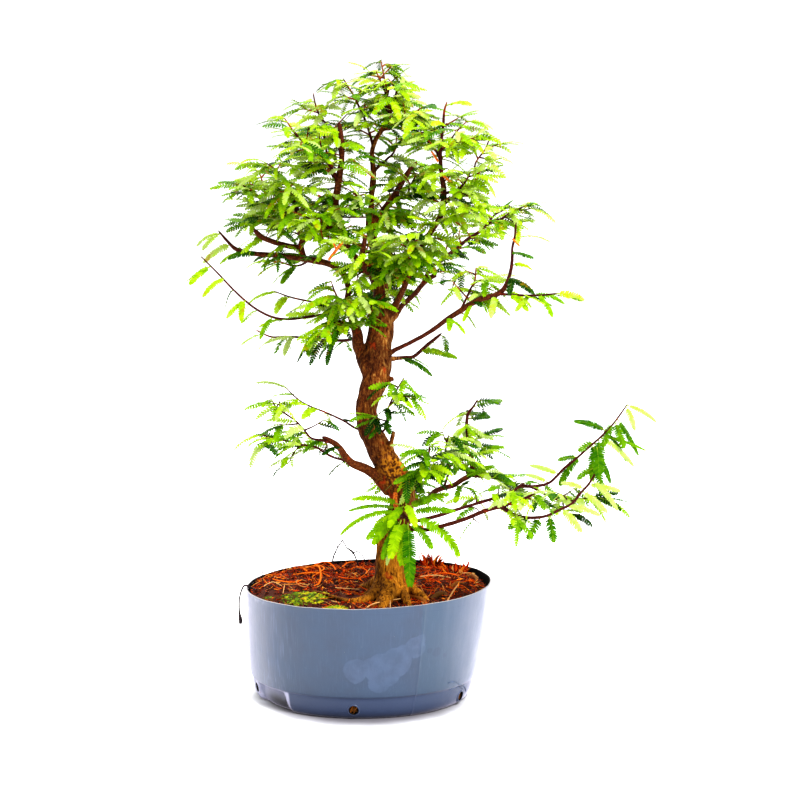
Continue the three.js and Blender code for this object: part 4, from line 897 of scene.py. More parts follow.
def wood_tree():
    """Round wood along each line, as thick as the line says, with closed ends and an uneven surface."""
    tree = Shaper("wood_along_line", {"Step": 1.2 * MM, "Sides": 10, "Relief": 0.25 * MM})
    line = tree.stepped(tree.smooth_lines(), tree.inputs["Step"])
    tube = tree.rod(line, tree.inputs["Sides"], tree.attribute("thick"))
    height = tree.plus(tree.lumps(tree.place, 5, 2), tree.times(tree.lumps(tree.place, 1.4, 1), 0.4))
    return tree.closed(tree.swollen(tube, tree.times(height, tree.times(tree.inputs["Relief"], 2.0))))


def leaflet(tree, side):
    """One leaflet, a unit long and wide: broad where it joins the stalk, narrow and bent back to its tip."""
    wedge = tree.geo("MeshCone", Vertices=3, Radius_Top=0.38, Radius_Bottom=0.56, Depth=0.98)
    wedge = tree.geo("Transform", Geometry=wedge, Rotation=(0, math.pi / 2, 0), Scale=(0.14, 1, 1))
    x = tree.parts(tree.place)[0]
    return tree.pushed(wedge, tree.joined(-0.05, tree.times(tree.times(x, x), -0.2 * side), 0.0))


def leaf_tree():
    """Leaf blades: along each line a thin stalk, with a row of leaflets down either side."""
    tree = Shaper("leaflets_along_stalk", {
        "Spacing": 2.1 * MM, "Leaflet width": 2.8 * MM, "Bare share": 0.12, "Seed": 1,
    })
    line = tree.smooth_lines()
    stalk = tree.rod(tree.stepped(line, 7 * MM), 3, tree.attribute("thick"))
    stalk = tree.marked(stalk, "rib", 1.0, "POINT")
    points = tree.stepped(line, tree.inputs["Spacing"])
    share = tree.geo("SplineParameter").outputs["Factor"]
    bare = tree.inputs["Bare share"]
    leafy = tree.math("DIVIDE", tree.minus(share, bare), tree.minus(1.0, bare))
    ends = tree.math("POWER", tree.absolute(tree.minus(tree.times(leafy, 2.0), 0.9)), 3.4)
    size = tree.minus(1.0, tree.times(ends, 0.4))
    size = tree.times(size, tree.chance(0.9, 1.08, tree.inputs["Seed"]))
    tangent = tree.geo("InputTangent")
    up = tree.attribute("up", "FLOAT_VECTOR")
    left = tree.vector("NORMALIZE", tree.vector("CROSS_PRODUCT", up, tangent))
    open_angle = tree.span(leafy, 0.0, 1.0, math.radians(76), math.radians(54))
    fold = tree.attribute("fold")
    width = tree.inputs["Leaflet width"]
    rows = []
    for side in (1, -1):
        level = tree.scaled(left, tree.times(tree.math("COSINE", fold), side))
        outward = tree.vector("SUBTRACT", level, tree.scaled(up, tree.math("SINE", fold)))
        ahead = tree.vector("ADD", tree.scaled(tangent, tree.math("COSINE", open_angle)),
                            tree.scaled(outward, tree.math("SINE", open_angle)))
        turn = tree.add("FunctionNodeAxesToRotation", Primary_Axis=ahead, Secondary_Axis=up,
                        primary_axis="X", secondary_axis="Z")
        wobble = tree.add("FunctionNodeEulerToRotation", tree.chance(
            (-0.22, -0.1, -0.07), (0.22, 0.1, 0.07), tree.seed(10.0 + side)))
        turn = tree.add("FunctionNodeRotateRotation", turn, wobble, rotation_space="LOCAL")
        long = tree.times(size, tree.attribute("broad"))
        rows.append(tree.geo(
            "InstanceOnPoints", Points=points, Selection=tree.math("GREATER_THAN", leafy, 0.0),
            Instance=leaflet(tree, side), Rotation=turn, Scale=tree.joined(long, width, width)))
    tone = tree.plus(tree.attribute("tone"), tree.chance(-0.07, 0.07, tree.inputs["Seed"]))
    return tree.closed(tree.together(tree.marked(tree.together(*rows), "tone", tone, "INSTANCE"), stalk))


def strew_tree(name, shapes):
    """Copies of a few shapes strewn over a surface, lying along it, each with a tone of its own.

    shapes(tree) gives the shapes. The surface's "cover" says how thickly they lie."""
    tree = Shaper(name, {"Density": 0.2, "Tilt": 0.4, "Sink": 0.0, "Seed": 1})
    seed = tree.inputs["Seed"]
    per_metre = tree.times(tree.inputs["Density"], 1e6)
    density = tree.times(per_metre, tree.attribute("cover"))
    strewn = tree.geo("DistributePointsOnFaces", Mesh=tree.inputs["Geometry"], Seed=seed, Density=density,
                      distribute_method="RANDOM").outputs
    tilt = tree.inputs["Tilt"]
    spin = tree.chance((-1.0, -1.0, -math.pi), (1.0, 1.0, math.pi), tree.seed(1.0))
    angles = tree.vector("MULTIPLY", spin, tree.joined(tilt, tilt, 1.0))
    turn = tree.add("FunctionNodeRotateRotation", strewn["Rotation"],
                    tree.add("FunctionNodeEulerToRotation", angles), rotation_space="LOCAL")
    copies = tree.geo(
        "InstanceOnPoints", Points=strewn["Points"], Pick_Instance=True, Rotation=turn,
        Instance=tree.together(*[tree.geo("GeometryToInstance", shape) for shape in shapes(tree)]),
        Instance_Index=tree.add("FunctionNodeRandomValue", Min=0, Max=99, Seed=seed, data_type="INT"),
        Scale=tree.chance(0.6, 1.35, tree.seed(2.0)))
    drop = tree.times(tree.inputs["Sink"], tree.chance(-1.0, 1.0, tree.seed(3.0)))
    sunk = tree.geo("TranslateInstances", Instances=copies, Translation=tree.joined(0.0, 0.0, drop))
    real = tree.geo("RealizeInstances", tree.marked(sunk, "tone", tree.chance(0.0, 1.0, seed), "INSTANCE"))
    axis = leant((0, 0, SOIL_TOP[-1][1])) * MM
    outward = tree.vector("MULTIPLY", tree.vector("SUBTRACT", tree.place, axis), (1, 1, 0))
    beyond = tree.math("MAXIMUM", tree.minus(tree.vector("LENGTH", outward), INSIDE_REACH * MM), 0.0)
    back = tree.scaled(tree.vector("NORMALIZE", outward), tree.times(beyond, -1.0))
    return tree.closed(tree.pushed(real, back))


def fibre_shapes(tree):
    """Bent fibres, from long and thin to short and stout."""
    for length, radius, bow in FIBRES:
        bent = tree.geo(
            "CurveQuadraticBezier", Resolution=4, Start=(-length / 2 * MM, 0, -0.1 * abs(bow) * MM),
            Middle=(0.1 * length * MM, bow * MM, 0.5 * abs(bow) * MM),
            End=(length / 2 * MM, 0.3 * bow * MM, 0))
        share = tree.geo("SplineParameter").outputs["Factor"]
        belly = tree.math("SINE", tree.span(share, 0.0, 1.0, 0.35, 2.8))
        yield tree.rod(bent, 3, belly, radius * MM)


def crumb_shapes(tree):
    """Lumps of soil."""
    return [tree.rough_ball(size, 0.35, seed) for seed, size in enumerate((1.0, 1.4, 2.1))]


def moss_shapes(tree):
    """Clumps of moss as low bumpy cushions."""
    for seed, size in enumerate((0.9, 1.3, 1.8), 5):
        yield tree.geo("Transform", Geometry=tree.rough_ball(size, 0.3, seed), Scale=(1, 1, 0.75))


# Materials

class Coat(Tree):
    """A material under construction: the place on the object, the colour so far and the Principled shader."""

    def __init__(self, name, roughness, shine):
        self.made = bpy.data.materials.new(name)
        self.made.use_nodes = True
        super().__init__(self.made.node_tree)
        self.shader = self.nodes["Principled BSDF"]
        self.place = self.add("ShaderNodeTexCoord").outputs["Object"]
        self.colour = None
        self.dress(Roughness=roughness, Specular_IOR_Level=shine)

    def dress(self, **inputs):
        """Sets or links the shader's inputs."""
        for name, value in inputs.items():
            self.put(value, self.shader.inputs[name.replace("_", " ")])

    def start(self, value, *stops):
        """Gives the first colours, by a value."""
        self.colour = self.ramp(value, *stops)

    def lay(self, colour, share, *more):
        """Lays a colour over those so far, by the product of its shares."""
        for factor in more:
            share = self.times(share, factor)
        self.colour = self.blend(share, self.colour, colour)

    def finished(self, **inputs):
        self.dress(Base_Color=self.colour, **inputs)
        return self.made

    def spots(self, size, *more):
        return self.clouds(self.place, size, *more)

    def carried(self, name="tone"):
        """A value that the surface carries."""
        return self.add("ShaderNodeAttribute", attribute_name=name).outputs["Fac"]

    def facing(self):
        return self.parts(self.add("ShaderNodeNewGeometry").outputs["Normal"])


def mottled(name, roughness, shine, spots, depth, *stops):
    """A finish whose colours and bumps both follow blotches of one size."""
    coat = Coat(name, roughness, shine)
    blotches = coat.spots(*spots)
    coat.start(blotches, *stops)
    return coat.finished(Normal=coat.bump(blotches, depth))


def bark_material(colours):
    """Bark of limbs and twigs: maroon where thin, red-brown and tan where thick, with orange patches."""
    coat = Coat("bark", 0.8, 0.08)
    thick = coat.carried("thick")
    streaks = coat.spots(1.6, 5, 0.65)
    stout_wood = coat.ramp(streaks, (0.3, colours.bark_dark), (0.5, colours.bark), (0.72, colours.bark_light))
    coat.start(streaks, (0.3, colours.twig_dark), (0.62, colours.twig))
    coat.lay(stout_wood, coat.span(thick, 1.0 * MM, 3.2 * MM))
    coat.lay(colours.bark_orange, coat.span(coat.spots(9), 0.64, 0.72, 0.0, 0.6))
    x, _, z = coat.parts(coat.place)
    in_crown = coat.times(coat.span(z, 0.3, 0.34), coat.span(coat.absolute(x), 0.12, 0.1))
    patches = coat.span(coat.spots(14, 2), 0.42, 0.5, 0.0, 0.9)
    coat.lay(colours.young_twig, coat.span(thick, 1.0 * MM, 0.8 * MM), patches, in_crown)
    return coat.finished(Normal=coat.bump(streaks, 0.35), Roughness=coat.span(streaks, 0.3, 0.7, 0.85, 0.55))


def trunk_material(colours):
    """Bark of the trunk: streaked along its height, ochre and olive low down, with red and dark patches, and
    painted light that makes it lighter on its right side and darker on its left.
    """
    coat = Coat("trunk_bark", 0.85, 0.06)
    streaks = coat.clouds(coat.squeezed(coat.place, 0.28), 2.2, 6, 0.68, 0.4)
    fine = coat.spots(0.9, 3, 0.6)
    # Painted light: the bark's colours run lighter where its surface faces the right and darker where it
    # faces the left, as if lit from the right.
    lit = coat.plus(streaks, coat.times(coat.facing()[0], 0.07))
    coat.start(lit, (0.32, colours.bark_dark), (0.45, colours.bark), (0.57, colours.bark_light),
               (0.7, colours.bark_pale))
    low_down = coat.span(coat.parts(coat.place)[2], 0.19, 0.12)
    coat.lay(coat.ramp(lit, (0.36, colours.olive), (0.6, colours.ochre)), low_down, 0.7)
    coat.lay(colours.bark_dark, coat.span(coat.clouds(coat.squeezed(coat.place, 0.5), 16), 0.45, 0.6), 0.55)
    by_fork = coat.span(coat.vector("DISTANCE", coat.place, PALE_FORK), 0.034, 0.012)
    coat.lay(colours.ochre, by_fork, coat.span(coat.spots(3, 4), 0.45, 0.6, 0.0, 0.8))
    coat.lay(colours.bark_orange, coat.span(coat.spots(13, 5), 0.6, 0.7, 0.0, 0.75))
    coat.lay(colours.crevice, coat.span(streaks, 0.42, 0.33, 0.0, 0.85))
    coat.lay(colours.bark_pale, coat.span(fine, 0.6, 0.75, 0.0, 0.5))
    normal = coat.bump(fine, 0.3, Normal=coat.bump(streaks, 1.2))
    return coat.finished(Normal=normal, Roughness=coat.span(streaks, 0.3, 0.7, 0.9, 0.6))


def leaf_material(colours):
    """Thin leaflets, from deep green by their tone to lime and almost white, on a paler stalk. The tone
    carries painted shade and painted light.
    """
    coat = Coat("foliage", 0.7, 0.03)
    tone = coat.plus(coat.carried(), coat.times(coat.lumps(coat.place, 5), 0.3))
    coat.start(tone, (0.0, colours.deep), (0.25, colours.green), (0.52, colours.bright), (0.78, colours.lime),
               (1.0, colours.pale))
    turning = coat.span(coat.spots(9, 2), 0.6, 0.7, 0.0, 0.6)
    coat.lay(colours.amber, turning, coat.span(coat.parts(coat.place)[2], 0.28, 0.34))
    coat.lay(colours.rib, coat.carried("rib"), 0.5)
    roughness = coat.span(tone, 0.0, 1.0, 0.4, 0.6)
    return coat.finished(Normal=coat.bump(coat.spots(1.2, 2), 0.15), Roughness=roughness)


def on_wall(bearing, height):
    """A place on the pot's outside, in metres."""
    radius = along([(h, r) for r, h in POT_OUTSIDE], height) - recess_at(bearing, height)
    spot = bearing_direction(bearing) * radius
    spot.z = height
    return leant(spot) * MM


def near_marks(coat, place, marks, soft):
    """1 inside any of the round marks on the pot's outside, 0 outside them, soft over some millimetres."""
    inside = 0.0
    for bearing, height, radius in marks:
        away = coat.vector("DISTANCE", place, tuple(on_wall(bearing, height)))
        inside = coat.math("MAXIMUM", coat.span(away, radius * MM, (radius - soft) * MM), inside)
    return inside


def plastic_material(colours):
    """Blue-grey moulded plastic, stained and streaked down its side, with a pale painted reflection on its
    sides, painted highlights in and along its recess, a painted shade line along the ledge, and dirt with
    painted shade low in the recess and at the foot.
    """
    coat = Coat("pot_plastic", 0.42, 0.5)
    coat.dress(Sheen_Weight=1.0, Sheen_Roughness=0.3, Sheen_Tint=(0.86, 0.82, 1, 1))
    place = coat.place
    x, y, z = coat.parts(place)
    mottle = coat.spots(34, 5, 0.6)
    coat.start(mottle, (0.32, colours.plastic_dark_and_shade), (0.62, colours.plastic))
    past_seam = coat.vector("DOT_PRODUCT", place, tuple(bearing_direction(SEAM_BEARING + 90)))
    green_side = coat.times(coat.span(past_seam, -0.0006, 0.0006), coat.span(y, -0.02, -0.05))
    coat.lay(colours.plastic_green, green_side, 0.5)
    down = coat.squeezed(place, 0.04)
    left = coat.times(coat.span(x, -0.05, -0.085), 0.4)
    coat.lay(colours.plastic_pale, coat.span(coat.clouds(down, 1.3), 0.52, 0.7), coat.plus(left, 0.08))
    edge = coat.spots(9, 4)
    jolt = coat.vector("SUBTRACT", coat.joined(edge, coat.spots(14, 2), edge), (0.5, 0.5, 0.5))
    wavy = coat.vector("ADD", place, coat.scaled(jolt, 0.006))
    coat.lay(colours.plastic_pale, near_marks(coat, wavy, STAINS, 1.6), coat.span(edge, 0.3, 0.7, 0.1, 0.3))
    coat.lay(colours.plastic_dark_and_shade, near_marks(coat, wavy, DARK_MARKS, 1.5), 0.5)
    coat.lay(colours.plastic_dark_and_shade, coat.band(z, 0.0965, 0.0005, 0.0001, 0.3))
    # Painted reflection: towards its left and right edges as seen from the front, the pot turns pale lilac,
    # as if it mirrored the white surround.
    faded = coat.plus(coat.absolute(x), coat.times(coat.clouds(down, 5, 4), 0.02))
    coat.lay(colours.plastic_highlight, coat.span(faded, 0.07, 0.118, 0.0, 0.14), coat.span(y, 0.02, -0.005))
    coat.lay(colours.plastic_low, coat.span(z, 0.0215, 0.0195, 0.0, 0.75))
    # Painted shade: a dark line along the crease under the ledge.
    coat.lay(colours.plastic_dark_and_shade, coat.band(z, 0.0203, 0.0011, 0.0003, 0.75))
    from_axis = coat.vector("SUBTRACT", place, tuple(leant((0, 0, LEDGE_HEIGHT / 2)) * MM))
    out = coat.vector("NORMALIZE", coat.vector("MULTIPLY", from_axis, (1, 1, 0)))
    across = coat.absolute(coat.vector("DOT_PRODUCT", out, tuple(bearing_direction(RECESS_BEARINGS[0]))))
    under_ledge = coat.span(z, 0.0205, 0.018)
    sunk = coat.times(coat.span(across, 0.965, 0.98), under_ledge)
    # Painted highlight: the recess under the ledge is made paler.
    coat.lay(colours.plastic_highlight, sunk, 0.25)
    # Dirt and painted shade: the left of the recess darkens towards the foot.
    toward_foot = coat.span(coat.plus(z, coat.times(coat.spots(12), 0.006)), 0.021, 0.01, 0.25, 0.95)
    coat.lay(colours.grime_and_shade, sunk, coat.times(coat.span(x, -0.094, -0.078), toward_foot))
    # Painted highlight: a pale line along each side edge of the recess.
    side_edge = coat.times(coat.span(across, 0.955, 0.963), coat.span(across, 0.978, 0.97))
    coat.lay(colours.plastic_highlight, side_edge, under_ledge, 0.7)
    # Dirt and painted shade: blotchy darkening at the pot's foot.
    coat.lay(colours.grime_and_shade, coat.span(z, 0.004, 0.0), coat.spots(6))
    coat.lay(colours.cut_rim, coat.span(coat.facing()[2], 0.75, 0.95), coat.span(z, 0.09, 0.093))
    coat.lay(colours.cut_rim, coat.span(coat.spots(1.1, 2, 0.7), 0.76, 0.8, 0.0, 0.6))
    roughness = coat.span(mottle, 0.3, 0.7, 0.36, 0.55)
    return coat.finished(Normal=coat.bump(coat.spots(6, 4), 0.12), Roughness=roughness)


def pot_inside_material(colours):
    """The pot's inner wall above the soil, nearly black."""
    return mottled("pot_inside", 0.7, 0.1, (12, 4), 0.15, (0.45, colours.inner_black),
                   (0.8, colours.grime_and_shade))


def ridge_material(colours):
    """The worn, paler plastic of the raised lines."""
    return mottled("pot_ridge", 0.4, 0.5, (5, 3), 0.1, (0.35, colours.plastic), (0.7, colours.plastic_pale))


def soil_material(colours):
    return mottled("potting_soil", 0.95, 0.2, (2, 5, 0.7), 0.8, (0.35, colours.soil_dark),
                   (0.6, colours.soil), (0.75, colours.soil_red))


def fibre_material(colours):
    """Coir: brick red to orange by the fibre, a few of them straw-coloured or nearly black."""
    coat = Coat("coir", 0.85, 0.04)
    coat.start(coat.carried(), (0.0, colours.coir_dark), (0.3, colours.coir), (0.72, colours.coir_orange),
               (0.93, colours.coir_pink), (0.98, colours.straw))
    grain = coat.spots(0.9)
    coat.lay(colours.coir_dark, coat.span(grain, 0.5, 0.7, 0.0, 0.5))
    return coat.finished(Normal=coat.bump(grain, 0.2))


def moss_material(colours):
    """Moss: brown at the left, and yellow-green at the right and at the clumps' tips."""
    coat = Coat("moss", 0.9, 0.2)
    to_the_right = coat.times(coat.plus(coat.parts(coat.place)[0], 0.05), 5.0)
    tone = coat.plus(coat.plus(coat.times(coat.carried(), 0.4), coat.spots(8, 3, 0.6)), to_the_right)
    coat.start(tone, (0.54, colours.moss_brown), (0.64, colours.moss_dark), (0.76, colours.moss),
               (0.94, colours.moss_yellow))
    return coat.finished(Normal=coat.bump(coat.spots(1, 2), 0.3))


def stalk_material(colours):
    return mottled("dry_stalk", 0.8, 0.2, (2, 4), 0.2, (0.35, colours.stalk_dark), (0.65, colours.stalk))


def root_material(colours):
    """Loose roots: olive-brown when stout, tan and cream when fine."""
    coat = Coat("loose_root", 0.8, 0.15)
    grain = coat.spots(1.4, 4, 0.6)
    tone = coat.plus(coat.carried(), coat.times(coat.minus(grain, 0.5), 0.5))
    coat.start(tone, (0.1, colours.root_dark), (0.55, colours.root), (0.95, colours.root_pale))
    return coat.finished(Normal=coat.bump(grain, 0.3))


def cut_wood_material(colours):
    return mottled("cut_wood", 0.8, 0.2, (1.5, 3), 0.2, (0.35, colours.cut_wood_dark),
                   (0.6, colours.cut_wood))


def floor_material():
    """White, with a painted contact shadow on the floor close to the pot's foot, and a painted glow that
    grows away from it.
    """
    coat = Coat("floor_white", 0.8, 0.1)
    away = coat.vector("DISTANCE", coat.place, (0.0, -0.03, 0.0))
    away = coat.plus(away, coat.times(coat.spots(40), 0.012))
    coat.start(coat.span(away, 0.074, 0.106), *SHADOW_COLOURS)
    # Painted light: the floor glows, not at all at the pot's foot and more and more further out, so that it
    # shows white beyond the painted shadow.
    coat.dress(Emission_Color=(1, 1, 1, 1), Emission_Strength=coat.span(away, 0.09, 0.17, 0.0, 0.4))
    return coat.finished()


# Settings that a user would change

def colour_setting(name, description, red, green, blue):
    return bpy.props.FloatVectorProperty(
        name=name, description=description, subtype="COLOR", size=3, min=0, max=1,
        default=paint(red, green, blue))


def length_setting(name, description, millimetres):
    return bpy.props.FloatProperty(
        name=name, description=description, unit="LENGTH", min=0, default=millimetres * MM, precision=5)


def number_setting(name, description, default):
    return bpy.props.FloatProperty(name=name, description=description, default=default, min=0)


class PotSettings(bpy.types.PropertyGroup):
    """The nursery pot."""
    columns: bpy.props.IntProperty(name="Columns", description="Faces around the pot", default=240, min=48)
    wall: length_setting("Wall", "Thickness of the plastic", 1.6)
    unevenness: length_setting("Unevenness", "How far the cut rim rises and falls", 0.5)
    plastic: colour_setting("Plastic", "The blue-grey of the pot", 51, 68, 92)
    # Also the painted shade line along the ledge.
    plastic_dark_and_shade: colour_setting("Dark plastic", "The pot's darker mottling", 45, 59, 82)
    plastic_pale: colour_setting("Pale plastic", "Dried stains and streaks", 84, 101, 134)
    plastic_green: colour_setting("Green plastic", "The duller side of the seam", 52, 73, 94)
    plastic_low: colour_setting("Low plastic", "The wall under the ledge", 46, 58, 88)
    # Dirt on the inner wall, and dirt with painted shade low in the recess and at the foot.
    grime_and_shade: colour_setting("Grime and shade", "Dirt in the recesses and at the foot", 34, 31, 34)
    inner_black: colour_setting("Inside", "The black inner wall", 8, 7, 8)
    # Painted light: the pale lilac of the painted reflection on the pot's sides and of the painted highlights
    # in and along the recess.
    plastic_highlight: colour_setting("Painted highlight", "The faded sides and the worn edges", 190, 188, 214)
    cut_rim: colour_setting("Cut rim", "The pale edge of the cut plastic", 158, 152, 146)


class SoilSettings(bpy.types.PropertyGroup):
    """The soil, with what lies and grows on it."""
    fibre_density: number_setting("Fibres", "Coir fibres on each square millimetre", 0.16)
    crumb_density: number_setting("Crumbs", "Crumbs of soil on each square millimetre", 0.035)
    moss_density: number_setting("Moss clumps", "Moss clumps on each square millimetre", 0.55)
    soil: colour_setting("Soil", "Damp potting soil", 78, 30, 10)
    soil_dark: colour_setting("Dark soil", "The soil's hollows", 30, 10, 4)
    soil_red: colour_setting("Red soil", "Fibre dust in the soil", 140, 44, 10)
    coir: colour_setting("Coir", "Brick-red fibres", 166, 36, 4)
    coir_dark: colour_setting("Dark coir", "The darkest fibres", 48, 8, 1)
    coir_orange: colour_setting("Orange coir", "Orange fibres", 232, 92, 14)
    coir_pink: colour_setting("Pink coir", "The lightest fibres", 244, 146, 40)
    straw: colour_setting("Straw", "A few straw-coloured fibres", 222, 176, 104)
    moss: colour_setting("Moss", "Living moss", 92, 122, 4)
    moss_dark: colour_setting("Dark moss", "Moss in its own shade", 48, 62, 4)
    moss_yellow: colour_setting("Yellow moss", "The moss shoots' tips", 172, 160, 14)
    moss_brown: colour_setting("Dry moss", "Dead moss", 84, 48, 10)
    stalk: colour_setting("Stalk", "Dead stalks", 62, 46, 50)
    stalk_dark: colour_setting("Dark stalk", "The stalks' shaded side", 26, 18, 24)
    root: colour_setting("Root", "Tan loose roots", 160, 92, 26)
    root_dark: colour_setting("Dark root", "Olive-brown stout roots", 84, 50, 10)
    root_pale: colour_setting("Pale root", "Cream fine roots", 214, 164, 104)


class WoodSettings(bpy.types.PropertyGroup):
    """The trunk, the limbs and the twigs."""
    voxel: length_setting("Fineness", "Mesh size of the trunk", 1.15)
    step: length_setting("Step", "Mesh size along a limb", 2.4)
    relief: length_setting("Relief", "Depth of the ridges in the trunk's bark", 1.0)
    bark: colour_setting("Bark", "Red-brown bark", 76, 34, 9)
    bark_dark: colour_setting("Dark bark", "The darker bark", 38, 13, 4)
    bark_light: colour_setting("Light bark", "Tan ridges of the bark", 118, 66, 22)
    bark_pale: colour_setting("Pale bark", "Bark worn pale", 172, 126, 62)
    bark_orange: colour_setting("Orange bark", "Orange-red patches", 146, 48, 12)
    crevice: colour_setting("Crevices", "Cracks in the bark", 20, 6, 2)
    ochre: colour_setting("Ochre", "Bark near the soil", 208, 136, 28)
    olive: colour_setting("Olive", "Shaded bark near the soil", 62, 28, 3)
    twig: colour_setting("Twigs", "Maroon young wood", 70, 20, 14)
    twig_dark: colour_setting("Dark twigs", "The twigs' darker side", 32, 7, 8)
    young_twig: colour_setting("Young twigs", "Amber patches of the youngest wood", 132, 64, 8)
    cut_wood: colour_setting("Cut wood", "Bright torn wood", 238, 132, 36)
    cut_wood_dark: colour_setting("Dark cut wood", "Darker streaks of the torn wood", 160, 46, 10)


class LeafSettings(bpy.types.PropertyGroup):
    """The leaves."""
    spacing: length_setting("Spacing", "Between pairs of leaflets", 2.3)
    leaflet_width: length_setting("Leaflet width", "The widest leaflets of a blade", 2.1)
    leaflet_length: length_setting("Leaflet length", "The longest leaflets of a blade of middle size", 4.0)
    twig_spacing: length_setting("Twig spacing", "Between the side twigs of a stem", 8.3)
    # Deep green also paints the shade inside the crown, and pale the painted light that turns outer leaves
    # almost white.
    deep: colour_setting("Deep green", "The darkest leaves", 11, 42, 0)
    green: colour_setting("Green", "Grown leaves", 42, 92, 0)
    bright: colour_setting("Bright green", "Leaves in the light", 98, 142, 0)
    lime: colour_setting("Lime", "Young leaves", 150, 184, 6)
    pale: colour_setting("Pale", "Leaves almost bleached by the light", 158, 178, 96)
    rib: colour_setting("Stalk", "The pale stalk along a blade", 160, 172, 50)
    amber: colour_setting("Amber", "Leaves that turn", 150, 108, 10)


class StageSettings(bpy.types.PropertyGroup):
    """The floor, the light and the camera."""
    floor_width: length_setting("Floor", "Width of the floor", 30000)
    sky: number_setting("Surround", "Strength of the white surround", 1.0)
    key: number_setting("Key light", "Power of the large light", 85.0)


# What the plant is made of

def soil_height(x, y):
    """The height of the soil's top, in millimetres."""
    lumps = 1.6 * noise.noise(Vector((x / 16, y / 16, 3))) + 0.9 * noise.noise(Vector((x / 5, y / 5, 7)))
    lift = SOIL_LIFT * smooth_rise(-60, 80, y) * smooth_rise(75, -10, x)
    lift += RIGHT_LIFT * smooth_rise(15, 75, x) * smooth_rise(-75, 0, y)
    return along(SOIL_TOP, math.hypot(x, y)) + SOIL_SLOPE * x + lumps + lift


def recess_at(bearing, height):
    """How deep the lower wall is pressed in."""
    offset = min(abs((bearing - middle + 540) % 360 - 180) for middle in RECESS_BEARINGS)
    edge = (RECESS_WIDTH + RECESS_EDGE) / 2 + RECESS_FLARE * (1 - height / LEDGE_HEIGHT)
    across = 1 - smooth_rise(edge - RECESS_EDGE, edge, offset)
    return RECESS_DEPTH * across * (1 - smooth_rise(LEDGE_HEIGHT - 3, LEDGE_HEIGHT + 0.6, height))


def even_turns(columns):
    return [360 * i / columns for i in range(columns)]


def turned_mesh(name, profile, turns, shift):
    """A closed shape turned about the pot's axis, with a column of faces between each two turns, which are in
    degrees. The profile starts and ends on the axis."""
    columns = len(turns)
    verts = [shift(0, *profile[0])]
    for radius, height in profile[1:-1]:
        verts += [shift(turn, radius, height) for turn in turns]
    verts.append(shift(0, *profile[-1]))
    rows = len(profile) - 2
    faces = []
    for i in range(columns):
        j = (i + 1) % columns
        faces.append((0, 1 + j, 1 + i))
        for row in range(rows - 1):
            low = 1 + row * columns
            faces.append((low + i, low + j, low + columns + j, low + columns + i))
        last = 1 + (rows - 1) * columns
        faces.append((last + i, last + j, len(verts) - 1))
    mesh = bpy.data.meshes.new(name)
    mesh.from_pydata([Vector(vert) * MM for vert in verts], [], faces)
    return mesh


def leant(spot):
    """A spot of the upright pot, moved with the pot's slight lean to the right."""
    return Vector((spot[0] + POT_FOOT_SHIFT + POT_LEAN * spot[2] / POT_HEIGHT, spot[1], spot[2]))


def fine_profile(profile, step):
    """A profile with extra points, so that none of its stretches is longer than a step."""
    fine = [profile[0]]
    for (r0, h0), (r1, h1) in zip(profile, profile[1:]):
        parts = max(1, math.ceil(math.dist((r0, h0), (r1, h1)) / step))
        fine += [(r0 + (r1 - r0) * i / parts, h0 + (h1 - h0) * i / parts) for i in range(1, parts + 1)]
    return fine


def drum(name, profile, place, axis):
    """A small turned shape with its axis along a direction."""
    mesh = turned_mesh(name, profile, even_turns(40), lambda turn, radius, height: (
        radius * math.sin(math.radians(turn)), -radius * math.cos(math.radians(turn)), height))
    turn = Vector((0, 0, 1)).rotation_difference(axis)
    mesh.transform(Matrix.Translation(Vector(place) * MM) @ turn.to_matrix().to_4x4())
    return placed(name, mesh)


